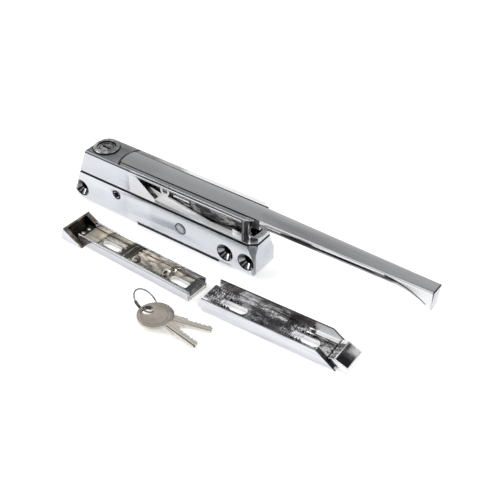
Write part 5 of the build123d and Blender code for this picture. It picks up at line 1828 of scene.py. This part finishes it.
@dataclass
class Studio:
    """Camera, table and soft light.

    Attributes:
        eye: Camera position in metres.
        target: Point that it looks at.
        lens: Focal length in millimetres.
        sensor: Width of the sensor in millimetres.
        sight: Nearest and farthest distance that the camera sees.
        roll: Roll in degrees.
        zenith: What polished metal sees overhead, where 1 is white.
        front: What it sees low down on the side of the lens.
        daylight: Strength of the light from all round.
        half: Half the side of the table.
        level: Height of the table's top.
        paper: How light the table is.
        glow: What the table adds for the lens and for polished metal.
        lamps: Name, place, side and watts of each soft box, in metres.
    """

    eye: Tone = (0.26456, -0.32701, 0.36843)
    target: Tone = (-0.000365, 0.043254, 0.002)
    lens: float = 71.05
    sensor: float = 36.0
    sight: Span = (0.01, 20.0)
    roll: float = 0.05
    zenith: float = 0.55
    front: float = 0.16
    daylight: float = 0.62
    half: float = 3.0
    level: float = -0.0002
    paper: float = 0.9
    glow: float = 0.38
    lamps: tuple[tuple[str, Tone, float, float], ...] = (
        ("left_soft_box", (-0.9, -0.5, 0.9), 0.7, 7.0),
        ("right_soft_box", (0.9, 0.3, 1.0), 0.6, 5.0),
    )

    def facing(self, place: Tone, way: Vector) -> Matrix:
        """Matrix of a camera or lamp at a place that looks along a way."""
        return Matrix.Translation(place) @ way.to_track_quat("-Z", "Y").to_matrix().to_4x4()

    def camera(self) -> None:
        """Create the scene's camera."""
        data = bpy.data.cameras.new("camera")
        data.lens = self.lens
        data.sensor_width = self.sensor
        data.clip_start, data.clip_end = self.sight
        camera = link("camera", data)
        spin = Matrix.Rotation(math.radians(self.roll), 4, "Z")
        camera.matrix_world = self.facing(self.eye, Vector(self.target) - Vector(self.eye)) @ spin
        bpy.context.scene.camera = camera

    def table(self) -> None:
        mesh = bpy.data.meshes.new("table")
        corners = ((-1, -1), (1, -1), (1, 1), (-1, 1))
        mesh.from_pydata([(x * self.half, y * self.half, self.level) for x, y in corners], [], [(0, 1, 2, 3)])
        table = link("table", mesh)
        material, graph = opened("white_table")
        paper = graph.feed(graph.add("BsdfDiffuse"), Color=rgba((self.paper, self.paper, self.paper)))
        glow = graph.feed(graph.add("Emission"), Color=WHITE, Strength=self.glow)
        both = graph.feed(graph.add("AddShader"), i0=paper.outputs[0], i1=glow.outputs[0])
        path = graph.add("LightPath").outputs
        mirrored = graph.math("MAXIMUM", path["Is Glossy Ray"], path["Is Transmission Ray"])
        seen = graph.math("MAXIMUM", path["Is Camera Ray"], mirrored)
        mix = graph.feed(graph.add("MixShader"), i0=seen, i1=paper.outputs[0], i2=both.outputs[0])
        graph.feed(graph.add("OutputMaterial"), Surface=mix.outputs[0])
        mesh.materials.append(material)

    def sky(self) -> None:
        """Plain soft light from all round, which polished metal sees darker overhead and low in front."""
        world = bpy.data.worlds.new("studio")
        bpy.context.scene.world = world
        world.use_nodes = True
        graph = Graph(world.node_tree)
        path = graph.add("LightPath").outputs
        parts = graph.parts(graph.add("TexCoord").outputs["Generated"])
        ceiling = graph.span(parts["Z"], (0.1, 0.75), (1, self.zenith), True)
        low = graph.span(parts["Z"], (0.45, 0.62), (1, 0), True)
        ahead = graph.span(parts["Y"], (-0.25, 0.1), (1, 0), True)
        strength = graph.math("MULTIPLY", low, ahead)
        strength = graph.math("MULTIPLY", ceiling, graph.span(strength, (0, 1), (1, self.front)))
        light = graph.feed(graph.add("Background"), Color=WHITE, Strength=self.daylight)
        for switch, level in ((path["Is Glossy Ray"], strength), (path["Is Camera Ray"], 1.0)):
            over = graph.feed(graph.add("Background"), Color=WHITE, Strength=level)
            light = graph.feed(graph.add("MixShader"), i0=switch, i1=light.outputs[0], i2=over.outputs[0])
        graph.feed(graph.add("OutputWorld"), Surface=light.outputs[0])

    def build(self) -> None:
        """Set up camera, table, sky and soft boxes, and the plain view transform."""
        self.camera()
        self.table()
        self.sky()
        for name, place, size, power in self.lamps:
            data = bpy.data.lights.new(name, "AREA")
            data.energy = power
            data.size = size
            link(name, data).matrix_world = self.facing(place, -Vector(place))
        bpy.context.scene.view_settings.view_transform = "Standard"


def main() -> None:
    """Load the frame, light it and build every sub-assembly."""
    logging.basicConfig(level=logging.INFO, format="%(name)s: %(message)s")
    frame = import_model()
    Studio().build()
    bench = Bench(frame)
    latch = Place(-122.7, 25.1, 2.0)
    LatchCase(latch).build(bench)
    PullLever(latch).build(bench)
    KeyLock(latch).build(bench)
    MagnetPack(latch).build(bench)
    LeftStrike(Place(-89.1, -9.1, 0.0, -2.1)).build(bench)
    RightStrike(Place(7.2, -13.9, 0.0, 2.2)).build(bench)
    KeySet().build(bench)


if __name__ == "__main__":
    main()
